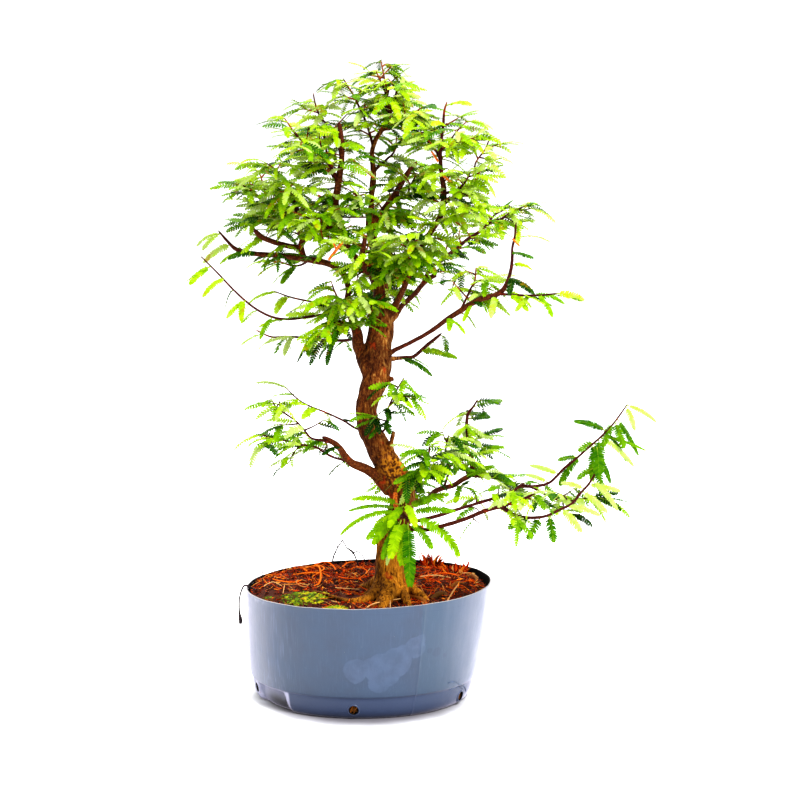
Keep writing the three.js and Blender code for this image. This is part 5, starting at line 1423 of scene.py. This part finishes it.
def make_pot(settings):
    """The pot: a thin wall with a floor, a ledge, two recesses, a hand-cut rim and drain holes."""
    wall = settings.wall / MM
    unevenness = settings.unevenness / MM
    outside = fine_profile(POT_OUTSIDE, 5)
    inside = [(radius - wall, height) for radius, height in reversed(outside) if height > wall + 1]
    rim_radius = POT_OUTSIDE[-1][0]
    rim = [(rim_radius - 0.4, POT_HEIGHT + 0.25), (rim_radius - wall + 0.4, POT_HEIGHT + 0.25)]
    floor = [(inside[-1][0] - 2, wall + 0.4), (FLOOR_RADIUS, wall), (0, wall)]
    profile = [(0, 0), (FLOOR_RADIUS, 0), *outside, *rim, *inside, *floor]

    def shift(bearing, radius, height):
        outward = bearing_direction(bearing)
        grown_radius = radius
        if radius > FLOOR_RADIUS + 1:
            swell = 0.5 * noise.noise(outward * 1.4 + Vector((0, 0, height / 60)))
            swell += SEAM_RISE * smooth_rise(SEAM_REACH, 0, abs(bearing - SEAM_BEARING))
            grown_radius = radius - recess_at(bearing, height) + swell
        rise = 0
        if height > POT_HEIGHT - 3:
            rise = RIM_SLOPE * radius * outward.x + unevenness * noise.noise(outward * 5)
        return leant((outward.x * grown_radius, outward.y * grown_radius, height + rise))

    seam_turns = [SEAM_BEARING + part * SEAM_REACH for part in (-1, -0.5, 0, 0.5, 1)]
    turns = sorted(even_turns(settings.columns) + seam_turns)
    holder = placed("pot_shell_source", turned_mesh("pot_shell", profile, turns, shift))
    holes = []
    for bearing, height in DRAIN_HOLES:
        outward = bearing_direction(bearing)
        spot = outward * (DRAIN_WALL_RADIUS - recess_at(bearing, height))
        spot.z = height
        spot = leant(spot)
        holes.append(spot * MM)
        axis = (outward - Vector((0, 0, DRAIN_TILT))).normalized()
        boss = drum("boss", [(0, -1.4), (BOSS_RADIUS + 0.6, -1.4), (BOSS_RADIUS, 0.1),
                             (BOSS_RADIUS - 0.4, BOSS_RISE), (0, BOSS_RISE)], spot, axis)
        mouth = DRAIN_RADIUS + 0.7
        hole = drum("hole", [(0, -6), (DRAIN_RADIUS, -6), (DRAIN_RADIUS, BOSS_RISE - 0.5),
                             (mouth, BOSS_RISE + 0.3), (mouth, 4), (0, 4)], spot, axis)
        for tool, operation in ((boss, "UNION"), (hole, "DIFFERENCE")):
            cut = holder.modifiers.new(tool.name, "BOOLEAN")
            cut.operation = operation
            cut.solver = "EXACT"
            cut.object = tool
    tools = [modifier.object for modifier in holder.modifiers]
    pot = flattened("pot_shell", holder)
    for tool in tools:
        bpy.data.objects.remove(tool)
    pot.data.materials.append(plastic_material(settings))
    pot.data.materials.append(pot_inside_material(settings))
    for face in pot.data.polygons:
        outward = (face.center - leant((0, 0, face.center.z / MM)) * MM).normalized()
        in_hole = min((face.center - spot).length for spot in holes) < (DRAIN_RADIUS + 0.4) * MM
        if in_hole or face.normal.dot(outward) < -0.5 and face.center.z > INSIDE_FROM * MM:
            face.material_index = 1
    pot.data.shade_smooth()
    pot.data.set_sharp_from_angle(angle=math.radians(40))
    settle(pot, "pot_plastic", "pot", smooth=False)
    lines = [[(on_wall(bearing, height) / MM, 0.4 * MM) for bearing, height in route] for route in RIDGES]
    ridges = grown("pot_ridges", lines_mesh("pot_ridges", lines), wood_tree(), step=1.5 * MM, sides=8,
                   relief=0.0, material=ridge_material(settings))
    settle(ridges, "pot_plastic", "pot")


def soil_surface(name, cover):
    """The soil's top as an open surface, with a cover from 0 to 1 by place."""
    rings = [1.5 + 2.4 * i for i in range(44)]
    columns = 120
    verts = [(radius * math.sin(turn), -radius * math.cos(turn))
             for radius in rings for turn in (2 * math.pi * i / columns for i in range(columns))]
    faces = [(row * columns + i, row * columns + (i + 1) % columns,
              (row + 1) * columns + (i + 1) % columns, (row + 1) * columns + i)
             for row in range(len(rings) - 1) for i in range(columns)]
    mesh = bpy.data.meshes.new(name)
    mesh.from_pydata([leant((x, y, soil_height(x, y))) * MM for x, y in verts], [], faces)
    give_values(mesh, "cover", "FLOAT", [cover(x, y) for x, y in verts])
    return mesh


def near_trunk(x, y):
    return smooth_rise(22, 14, math.hypot(x - 23, y + 42))


def fibre_cover(x, y):
    """Coir lies almost everywhere, thin over the moss and the bare soil at the front left."""
    bare = max(smooth_rise(48, 26, math.hypot(x + 46, (y + 56) * 1.2)),
               smooth_rise(28, 12, math.hypot(x + 84, y + 26)))
    patchy = smooth_rise(-0.25, 0.1, noise.noise(Vector((x / 17, y / 17, 1))))
    return (0.35 + 0.65 * patchy) * (1 - 0.85 * bare) * (1 - near_trunk(x, y))


def make_soil(settings):
    """The soil bed, its crumbs and the coir fibres on it."""
    side = [(radius - 1.6 - SOIL_GAP - (RECESS_DEPTH if height < LEDGE_HEIGHT else 0), height + SOIL_GAP)
            for radius, height in POT_OUTSIDE[2:] if height < 90]
    top = [(106.3 - 2.2 * i, None) for i in range(48)]
    profile = [(0, side[0][1]), (FLOOR_RADIUS, side[0][1]), *side, *top, (0, None)]

    def shift(bearing, radius, height):
        spot = bearing_direction(bearing) * radius
        spot.z = soil_height(spot.x, spot.y) if height is None else height
        return leant(spot)

    bed = placed("soil_bed", turned_mesh("soil_bed", profile, even_turns(144), shift))
    bed.data.materials.append(soil_material(settings))
    settle(bed, "potting_soil", "soil")
    crumbs = grown("soil_crumbs", soil_surface("crumb_cover", lambda x, y: 1 - near_trunk(x, y)),
                   strew_tree("crumbs_strewn", crumb_shapes), density=settings.crumb_density,
                   tilt=1.0, sink=0.6 * MM, seed=4, material=soil_material(settings))
    settle(crumbs, "potting_soil", "soil", smooth=False)
    fibres = grown("coir_mat", soil_surface("fibre_cover", fibre_cover),
                   strew_tree("fibres_strewn", fibre_shapes), density=settings.fibre_density,
                   tilt=0.38, sink=2.2 * MM, seed=7, material=fibre_material(settings))
    settle(fibres, "coir", "soil", smooth=False)


def lying_line(route, tone):
    """A route given by its height above the soil, as a line with thickness and tone."""
    return [((*leant((x, y, soil_height(x, y) + above)),), radius * MM, tone)
            for x, y, above, radius in route]


def make_loose_roots(settings):
    """The strands and roots that lie on the soil, and the roots that fill the drain holes."""
    wood = wood_tree()
    draw = random.Random(3)
    loops = [lying_line(route, draw.uniform(0.72, 0.86)) for route in COIR_LOOPS]
    strands = [lying_line(route, draw.uniform(0.55, 1.0)) for route in LOOSE_ROOTS]
    strands += [lying_line(route, draw.uniform(0.0, 0.4)) for route in STOUT_ROOTS]
    plugs = []
    for bearing, height in DRAIN_HOLES:
        outward = bearing_direction(bearing)
        middle = outward * (DRAIN_WALL_RADIUS - 2 - recess_at(bearing, height))
        across = bearing_direction(bearing + 90)
        for _ in range(11):
            turn = draw.uniform(0, math.pi)
            side = across * math.cos(turn) + UP * math.sin(turn)
            shift = Vector((0, 0, height + draw.uniform(-2.4, 2.4))) + across * draw.uniform(-2.4, 2.4)
            ends = [middle + shift + side * reach for reach in (-3.4, 0, 3.4)]
            ends[1] += outward * draw.uniform(0, 1)
            tone = draw.uniform(-0.3, 0.6)
            plugs.append([((*leant(end),), 0.4 * MM, tone) for end in ends])
    for name, lines, sides, relief, coat, slot in (
        ("coir_loops", loops, 7, 0.25, fibre_material(settings), "coir"),
        ("loose_roots", strands, 7, 0.25, root_material(settings), "bark"),
        ("drain_hole_roots", plugs, 5, 0.1, root_material(settings), "bark"),
    ):
        piece = grown(name, lines_mesh(name, lines, ROOT_KINDS), wood, step=1.5 * MM, sides=sides,
                      relief=relief * MM, material=coat)
        settle(piece, slot, "soil", smooth=lines is not plugs)


def make_moss(settings):
    """Each pad of moss: a low cushion with clumps all over it."""
    shoots = strew_tree("moss_clumps", moss_shapes)
    coat = moss_material(settings)
    for seed, (node, ((x, y, z), (wide, deep, tall))) in enumerate(MOSS.items()):
        rows = 9
        profile = [(0, -0.4)] + [(math.cos(turn), math.sin(turn)) for turn in (
            -0.35 + (math.pi / 2 + 0.35) * i / rows for i in range(rows))] + [(0, 1)]

        def shift(bearing, radius, height):
            outward = bearing_direction(bearing)
            lumps = 1 + 0.22 * noise.noise(Vector((outward.x * 2, outward.y * 2, seed + height)))
            return (x + outward.x * radius * wide * lumps, y + outward.y * radius * deep * lumps,
                    z + height * tall * 0.8)

        pad = turned_mesh(node, profile, even_turns(48), shift)
        give_values(pad, "cover", "FLOAT", [vert.co.z > (z - 1) * MM for vert in pad.vertices])
        green = grown(node + "_clumps", pad, shoots, density=settings.moss_density, tilt=0.5,
                      seed=seed, material=coat)
        settle(green, "moss", node, smooth=False)
        pad.materials.append(coat)
        settle(placed(node + "_cushion", pad), "moss", node)


def make_coir_tufts(settings):
    """Each tuft of coir: fibres that stand up and splay from one foot."""
    coat = fibre_material(settings)
    wood = wood_tree()
    for seed, (node, ((x, y, z), radius, height)) in enumerate(COIR_TUFTS.items(), 20):
        draw = random.Random(seed)
        lines = []
        for _ in range(80):
            turn = draw.uniform(0, 2 * math.pi)
            foot = radius * 0.85 * math.sqrt(draw.random())
            lean = draw.uniform(-0.5, 1.1) * (0.3 + foot / radius)
            tall = height * draw.uniform(0.2, 1) ** 1.4 * (1 - 0.5 * foot / radius)
            bow = Vector((draw.uniform(-3, 3), draw.uniform(-3, 3), draw.uniform(-1, 1)))
            thick = draw.uniform(0.5, 1.7) * MM
            start = Vector((x + math.cos(turn) * foot, y + math.sin(turn) * foot, z - 1))
            end = start + Vector((math.cos(turn) * lean * tall, math.sin(turn) * lean * tall, tall + 1))
            middle = (start + end) / 2 + bow
            tone = draw.random() ** 1.7
            lines.append([(start, thick * 0.8, tone), (middle, thick, tone), (end, thick * 0.12, tone)])
        tuft = grown(node + "_fibres", lines_mesh(node, lines, ROOT_KINDS), wood, step=4 * MM, sides=4,
                     relief=0.0, material=coat)
        settle(tuft, "coir", node, smooth=False)


def make_dry_stalks(settings):
    wood = wood_tree()
    coat = stalk_material(settings)
    for node, routes in DRY_STALKS.items():
        mesh = lines_mesh(node, [route_line(route, 1.35) for route in routes])
        stalk = grown(node + "_wood", mesh, wood, step=1.2 * MM, sides=7, relief=0.1 * MM, material=coat)
        settle(stalk, "dry_stalk", node)


def collar(route):
    """The first stretch of a limb, flared where it leaves the trunk, which ends inside the limb."""
    start = Vector(route[0][:3])
    line = []
    for x, y, z, radius in route:
        away = (Vector((x, y, z)) - start).length
        if line and away > 30:
            break
        flare = 1.15 + 0.55 * math.exp(-away / 9)
        line.append(((x, y, z), radius * MM * (flare if away < 22 else 0.8)))
    return line


def starts_on_trunk(route):
    *foot, radius = route[0]
    return radius > 1.4 and any(math.dist(foot, spot[:3]) < spot[3] + 3 for spot in TRUNK)


def bark_relief_tree():
    """Pushes a surface in and out: ridges that run up the wood, and smaller lumps."""
    tree = Shaper("bark_relief", {"Relief": 1.0 * MM})
    drawn_out = tree.squeezed(tree.place, 0.3)
    ridges = tree.lumps(drawn_out, 5, 4, 0.55, 0.6)
    small = tree.plus(tree.times(tree.lumps(tree.place, 14, 2), 2.0),
                      tree.times(tree.lumps(drawn_out, 1.6, 2), 0.6))
    height = tree.times(tree.plus(tree.times(ridges, 2.2), small), tree.inputs["Relief"])
    return tree.closed(tree.swollen(tree.inputs["Geometry"], height))


def make_trunk(settings):
    """The trunk with its surface roots, cut stubs and the collars of its limbs, as one skin of bark."""
    lines = [route_line(TRUNK, 0.95)] + [route_line(route) for route in ROOTS + FUSED_STRANDS + CUT_STUBS]
    lines += [collar(route) for _, _, route in STEMS if starts_on_trunk(route)]
    holder = placed("trunk_wood_source", lines_mesh("trunk_wood", lines))
    with_tree(holder, wood_tree(), {"Step": 3 * MM, "Sides": 20, "Relief": 0.0})
    skin = holder.modifiers.new("Skin", "REMESH")
    skin.mode = "VOXEL"
    skin.voxel_size = settings.voxel
    skin.use_smooth_shade = True
    ease = holder.modifiers.new("Ease", "SMOOTH")
    ease.factor = 0.5
    ease.iterations = 8
    with_tree(holder, bark_relief_tree(), {"Relief": settings.relief, "Material": trunk_material(settings)})
    settle(flattened("trunk_wood", holder), "bark", "trunk")
    bright = grown("bright_wood", lines_mesh("bright_wood", [route_line(route) for route in BRIGHT_WOOD]),
                   wood_tree(), step=1.5 * MM, sides=7, relief=0.3 * MM, material=cut_wood_material(settings))
    settle(bright, "bark")


def stem_line(route, leafy):
    """A stem as a line. A leafy tip tapers to a bud, and a bare one ends as it was cut."""
    line = route_line(route)
    if leafy:
        (end, thick), (before, _) = line[-1], line[-2]
        ahead = (Vector(end) - Vector(before)).normalized()
        line[-1] = (end, thick * 0.8)
        line.append((Vector(end) + ahead * 1.5, thick * 0.25))
    return line


def stems_by_node():
    """Each limb's and shoot's node, with its stems and their seeds."""
    nodes = {}
    for seed, stem in enumerate(STEMS, 1):
        nodes.setdefault(stem[0], []).append((seed, stem))
    return nodes.items()


def make_branches(settings, twig_spacing):
    """The wood of every limb and shoot, with its side twigs."""
    wood = wood_tree()
    coat = bark_material(settings)
    for node, stems in stems_by_node():
        stout = stems[0][1][2][0][3] > 2
        lines = [stem_line(route, leaves) for _, (_, leaves, route) in stems]
        if node != "shoot_basal":
            twigs = [twig for seed, stem in stems for twig in side_twigs(stem, seed, twig_spacing)]
            lines += [route_line(twig) for twig in twigs]
        piece = grown(node + "_wood", lines_mesh(node, lines), wood, step=settings.step,
                      sides=9 if stout else 5, relief=(0.35 if stout else 0.16) * MM, material=coat)
        settle(piece, "bark", node)


def point_along(route, share):
    """The point and the direction at a share of a route's length."""
    points = [Vector(point[:3]) for point in route]
    lengths = [(b - a).length for a, b in zip(points, points[1:])]
    left = share * sum(lengths)
    i = 0
    while i < len(lengths) - 1 and left > lengths[i]:
        left -= lengths[i]
        i += 1
    direction = (points[i + 1] - points[i]).normalized()
    return points[i] + direction * left, direction


def route_length(route):
    return sum(math.dist(a[:3], b[:3]) for a, b in zip(route, route[1:]))


def level_heading(angle, rise):
    """A direction by its angle about the upright axis and its rise above the level."""
    return Vector((math.cos(angle) * math.cos(rise), math.sin(angle) * math.cos(rise), math.sin(rise)))


def side_twigs(stem, seed, spacing):
    """The short twigs round the leafy stretch of a stem, one after another about its axis, as routes."""
    node, leaves, route = stem
    if not leaves or node in SPARSE_STEMS:
        return []
    _, start, end, _, hang = leaves
    draw = random.Random(seed * 31)
    in_crown = route[len(route) // 2][2] > LOWEST_CROWN
    start *= 0.4 if in_crown else 0.8
    count = round(route_length(route) * (end - start) / spacing * (1 if in_crown else 0.7))
    twigs = []
    for i in range(count):
        share = start + (end - start) * 0.92 * (i + draw.random()) / count
        foot, direction = point_along(route, share)
        level = direction.cross(UP).normalized()
        raised = level.cross(direction)
        turn = i * GOLDEN_ANGLE + draw.uniform(-0.4, 0.4)
        away = level * math.cos(turn) + raised * math.sin(turn)
        if away.z < 0:
            away.z *= 0.3
        away.z -= 0.6 * hang
        ahead = (away.normalized() + direction * draw.uniform(0.2, 0.8)).normalized()
        reach = draw.uniform(10, 27) * (1.15 - 0.55 * share)
        middle = foot + ahead * reach * 0.55
        bent = Vector((draw.uniform(-0.4, 0.4), draw.uniform(-0.4, 0.4), draw.uniform(-0.35, 0.2)))
        tip = middle + (ahead + bent).normalized() * reach * 0.45
        twigs.append([(*foot, 0.85), (*middle, 0.65), (*tip, 0.42)])
    return twigs


def blade_line(foot, heading, half, spread, rise, bend, length, tone, roll, broad, lean=0.35):
    """The stalk of one blade: it leaves the foot with its twin, parts from it and droops to its tip. Its face
    leans to the front."""
    steps = 7
    line = []
    place = foot.copy()
    for i in range(steps + 1):
        share = i / steps
        turn = heading + half * spread * 1.12 * smooth_rise(0, 0.3, share)
        angle = rise - bend * share
        ahead = level_heading(turn, angle)
        flat_up = level_heading(turn, angle + math.pi / 2)
        up = flat_up * math.cos(roll) + ahead.cross(flat_up) * math.sin(roll) + Vector((0, -lean, 0))
        thick = (0.34 - 0.2 * share + 0.4 * math.exp(-share * 22)) * MM
        line.append((place.copy(), thick, tone + 0.12 * share * share, up, LEAFLET_FOLD, broad * MM))
        place += ahead * length / steps
    return line


def pair_of_blades(draw, foot, heading, spread, rise, bend, size, tone, leaflet_length, halves=(-1, 1)):
    """Both blades of one leaf, or only one of them."""
    lines = []
    for half in halves:
        length = size * draw.uniform(0.8, 1.12)
        broad = leaflet_length * (size / 28) ** 0.7 * draw.uniform(0.85, 1.12)
        lines.append(blade_line(
            foot, heading, half, spread, rise + draw.uniform(-0.22, 0.22), bend + draw.uniform(-0.15, 0.25),
            length, tone + draw.gauss(0, 0.14), draw.gauss(0, 0.4), broad))
    return lines


def arched_line(draw, foot, tip, broad, tone):
    """The stalk of a blade that arches from its foot to its tip, with its face to the front."""
    way = Vector(tip) - Vector(foot)
    bend = draw.uniform(0.2, 0.6)
    rise = math.asin(way.z / way.length) + bend / 2
    return blade_line(Vector(foot), math.atan2(way.y, way.x), 0, 0, rise, bend, way.length * 1.03,
                      tone, draw.gauss(0, 0.15), broad, 2.0)


def covers_bare_wood(line):
    """Whether a blade in front of the crown's middle would cover one of the bare stretches."""
    middle = line[len(line) // 2][0]
    spot = Vector((middle.x, middle.z))
    for route in BARE_WOOD:
        for start, end in zip(route, route[1:]):
            way = Vector(end) - Vector(start)
            share = min(1, max(0, (spot - Vector(start)).dot(way) / way.length_squared))
            if (Vector(start) + way * share - spot).length < BARE_REACH:
                return middle.y < 0
    return False


def sparseness(line):
    """The share of blades that is missing here: most in front of bare wood, and some at the low left and in
    the crown's right top."""
    middle = line[len(line) // 2][0]
    if covers_bare_wood(line):
        return 0.75
    if middle.x < 0 and middle.z < LOWEST_CROWN - 40:
        return 0.2
    return 0.34 * smooth_rise(60, 100, middle.x) * smooth_rise(385, 420, middle.z)


def leaf_tone_and_painted_light(draw, foot, hang):
    """How light a leaf is: a tone that differs at random, with painted shade inside the crown and where it
    hangs, and painted light outside the crown and in front.
    """
    away = foot - CROWN_CENTRE
    outer = min(math.sqrt(sum((a / b) ** 2 for a, b in zip(away, CROWN_SIZE))), 1.1)
    if foot.z > LOWEST_CROWN:
        tone = min(0.37 + 0.24 * outer + 0.08 * (away.y < 0) + draw.gauss(0, 0.24), 0.8)
    else:
        tone = 0.36 + 0.2 * smooth_rise(30, 110, abs(foot.x - CROWN_CENTRE.x)) + draw.gauss(0, 0.3)
        tone += 0.2 * smooth_rise(-20, -60, foot.x)
    return tone - 0.08 * (hang > 0.4)


def leaf_lines(stem, seed, settings):
    """The blades of the leaves on a stem and on its side twigs. A stem's own leaves start and point as the
    part's do."""
    node, leaves, route = stem
    if not leaves:
        return []
    count, start, end, size, hang = leaves
    drawn = numbers_from(seed)
    draw = random.Random(seed)
    leaflet_length = settings.leaflet_length / MM
    lines = []
    for i in range(count):
        foot, direction = point_along(route, start + (end - start) * i / (count - 1))
        away = math.atan2((foot.y - CROWN_MIDDLE[1]) / CROWN_REACH + direction.y,
                          (foot.x - CROWN_MIDDLE[0]) / CROWN_REACH + direction.x)
        turn = drawn()
        side = 1 if i % 2 else -1
        heading = away + (0.7 * (turn - 0.5) if i == count - 1 else side * (0.5 + 0.6 * turn))
        spread = 0.35 + 0.3 * drawn()
        for _ in range(6):
            drawn()
        rise = 0.36 - hang + draw.uniform(-0.3, 0.3)
        halves = draw.choice(((-1,), (1,), (-1, 1))) if node in SPARSE_STEMS else (-1, 1)
        lines += pair_of_blades(draw, foot, heading, spread, rise, draw.uniform(0.3, 0.85), size,
                                leaf_tone_and_painted_light(draw, foot, hang), leaflet_length, halves)
    for twig in side_twigs(stem, seed, settings.twig_spacing / MM):
        for share, turned in ((0.4, -0.9), (0.72, 0.9), (1.0, 0)):
            foot, direction = point_along(twig, share)
            heading = math.atan2(direction.y, direction.x) + turned
            rise = 0.24 - 0.9 * hang + draw.uniform(-0.45, 0.4)
            lines += pair_of_blades(draw, foot, heading, draw.uniform(0.3, 0.7), rise,
                                    draw.uniform(0.3, 0.8), size * draw.uniform(0.62, 1.02),
                                    leaf_tone_and_painted_light(draw, foot, hang), leaflet_length)
    return lines


def basal_lines():
    """The blades of the young shoot low on the trunk."""
    draw = random.Random(5)
    return [blade_line(Vector(foot), math.radians(heading), 0, 0, math.radians(rise), math.radians(bend),
                       length, tone + 0.04, draw.gauss(0, 0.12), 0.8 * broad, 0.9)
            for foot, heading, rise, bend, length, broad, tone in BASAL_BLADES]


def make_leaves(settings):
    """The leaves of every limb and shoot."""
    leaflets = leaf_tree()
    coat = leaf_material(settings)
    for count, (node, stems) in enumerate(stems_by_node()):
        draw = random.Random(count)
        if node == "shoot_basal":
            lines = basal_lines()
        elif node in OUTER_BLADES:
            lines = [arched_line(draw, *blade) for blade in OUTER_BLADES[node]]
        else:
            lines = [line for seed, stem in stems for line in leaf_lines(stem, seed, settings)]
            lines = [line for line in lines if draw.random() > sparseness(line)]
        if not lines:
            continue
        close = 0.8 if node in SPARSE_STEMS or node == "shoot_basal" else 1
        piece = grown(node + "_leaves", lines_mesh(node, lines, BLADE_KINDS), leaflets,
                      spacing=settings.spacing * close, leaflet_width=settings.leaflet_width, seed=count,
                      material=coat)
        settle(piece, "foliage", node, smooth=False)


def area_light(name, place, width, power):
    light = bpy.data.lights.new(name, "AREA")
    light.shape = "DISK"
    light.size = width
    light.energy = power
    lamp = placed(name, light)
    lamp.location = place
    lamp.rotation_euler = (Vector(LIT_POINT) - Vector(place)).to_track_quat("-Z", "Y").to_euler()


def make_stage(settings):
    """A white floor and surround, soft lights, and the camera at the photograph's angle."""
    scene = bpy.context.scene
    half = settings.floor_width / 2
    mesh = bpy.data.meshes.new("floor")
    corners = [(-half, -half, 0), (half, -half, 0), (half, half, 0), (-half, half, 0)]
    mesh.from_pydata(corners, [], [(0, 1, 2, 3)])
    mesh.materials.append(floor_material())
    placed("floor", mesh)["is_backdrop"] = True
    world = bpy.data.worlds.new("surround")
    world.use_nodes = True
    sky = world.node_tree.nodes["Background"]
    sky.inputs["Color"].default_value = (1, 1, 1, 1)
    sky.inputs["Strength"].default_value = settings.sky
    scene.world = world
    area_light("key", (1.1, -1.7, 2.1), 1.2, settings.key)
    area_light("top", (-0.1, 1.1, 2.3), 1.3, settings.key * 0.7)
    eye = bpy.data.cameras.new("camera")
    eye.lens = LENS
    camera = placed("camera", eye)
    camera.location = Vector(EYE) * MM
    camera.rotation_euler = (math.radians(90 - LOOK_DOWN), 0, 0)
    scene.camera = camera
    scene.view_settings.view_transform = "Standard"
    scene.view_settings.look = "Medium High Contrast"


# Operators, one for each piece or group of like pieces, and the panel that lists them

class BONSAI_OT_stage(bpy.types.Operator):
    """Makes the floor, the light and the camera"""
    bl_idname = "bonsai.stage"
    bl_label = "Stage"

    def execute(self, context):
        make_stage(context.scene.bonsai_stage)
        return {"FINISHED"}


class BONSAI_OT_pot(bpy.types.Operator):
    """Makes the nursery pot"""
    bl_idname = "bonsai.pot"
    bl_label = "Pot"

    def execute(self, context):
        make_pot(context.scene.bonsai_pot)
        return {"FINISHED"}


class BONSAI_OT_soil(bpy.types.Operator):
    """Makes the soil with its crumbs and coir fibres"""
    bl_idname = "bonsai.soil"
    bl_label = "Soil"

    def execute(self, context):
        make_soil(context.scene.bonsai_soil)
        return {"FINISHED"}


class BONSAI_OT_loose_roots(bpy.types.Operator):
    """Makes the loose roots and strands on the soil and in the drain holes"""
    bl_idname = "bonsai.loose_roots"
    bl_label = "Loose roots"

    def execute(self, context):
        make_loose_roots(context.scene.bonsai_soil)
        return {"FINISHED"}


class BONSAI_OT_moss(bpy.types.Operator):
    """Makes the pads of moss"""
    bl_idname = "bonsai.moss"
    bl_label = "Moss"

    def execute(self, context):
        make_moss(context.scene.bonsai_soil)
        return {"FINISHED"}


class BONSAI_OT_coir_tufts(bpy.types.Operator):
    """Makes the upright tufts of coir"""
    bl_idname = "bonsai.coir_tufts"
    bl_label = "Coir tufts"

    def execute(self, context):
        make_coir_tufts(context.scene.bonsai_soil)
        return {"FINISHED"}


class BONSAI_OT_dry_stalks(bpy.types.Operator):
    """Makes the dead stalks that stand in the soil"""
    bl_idname = "bonsai.dry_stalks"
    bl_label = "Dry stalks"

    def execute(self, context):
        make_dry_stalks(context.scene.bonsai_soil)
        return {"FINISHED"}


class BONSAI_OT_trunk(bpy.types.Operator):
    """Makes the trunk with its roots, stubs and collars"""
    bl_idname = "bonsai.trunk"
    bl_label = "Trunk"

    def execute(self, context):
        make_trunk(context.scene.bonsai_wood)
        return {"FINISHED"}


class BONSAI_OT_branches(bpy.types.Operator):
    """Makes the wood of the limbs and shoots"""
    bl_idname = "bonsai.branches"
    bl_label = "Branches"

    def execute(self, context):
        make_branches(context.scene.bonsai_wood, context.scene.bonsai_leaves.twig_spacing / MM)
        return {"FINISHED"}


class BONSAI_OT_leaves(bpy.types.Operator):
    """Makes the leaves of the limbs and shoots"""
    bl_idname = "bonsai.leaves"
    bl_label = "Leaves"

    def execute(self, context):
        make_leaves(context.scene.bonsai_leaves)
        return {"FINISHED"}


OPERATORS = (
    BONSAI_OT_stage, BONSAI_OT_pot, BONSAI_OT_soil, BONSAI_OT_loose_roots, BONSAI_OT_moss,
    BONSAI_OT_coir_tufts, BONSAI_OT_dry_stalks, BONSAI_OT_trunk, BONSAI_OT_branches, BONSAI_OT_leaves,
)
SETTINGS = {
    "bonsai_stage": StageSettings, "bonsai_pot": PotSettings, "bonsai_soil": SoilSettings,
    "bonsai_wood": WoodSettings, "bonsai_leaves": LeafSettings,
}


class BONSAI_PT_panel(bpy.types.Panel):
    """Lists what the add-on makes, with its settings"""
    bl_idname = "BONSAI_PT_panel"
    bl_label = "Calliandra pre-bonsai"
    bl_space_type = "VIEW_3D"
    bl_region_type = "UI"
    bl_category = "Bonsai"

    def draw(self, context):
        for operator in OPERATORS:
            self.layout.operator(operator.bl_idname)
        for group, kind in SETTINGS.items():
            box = self.layout.box()
            box.label(text=kind.__doc__)
            for setting in kind.__annotations__:
                box.prop(getattr(context.scene, group), setting)


def register():
    for kind in (*SETTINGS.values(), *OPERATORS, BONSAI_PT_panel):
        bpy.utils.register_class(kind)
    for group, kind in SETTINGS.items():
        setattr(bpy.types.Scene, group, bpy.props.PointerProperty(type=kind))


def unregister():
    for group in SETTINGS:
        delattr(bpy.types.Scene, group)
    for kind in (BONSAI_PT_panel, *reversed(OPERATORS), *SETTINGS.values()):
        bpy.utils.unregister_class(kind)


def main():
    """Makes everything, and works out the size of the parts beside that of the finished model."""
    register()
    for operator in OPERATORS:
        getattr(bpy.ops.bonsai, operator.bl_idname.split(".")[1])()
    sizes = {"cad": CAD_BOX, "visual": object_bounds()}
    plain = {name: [[float(value) for value in corner] for corner in box] for name, box in sizes.items()}


if __name__ == "__main__":
    main()
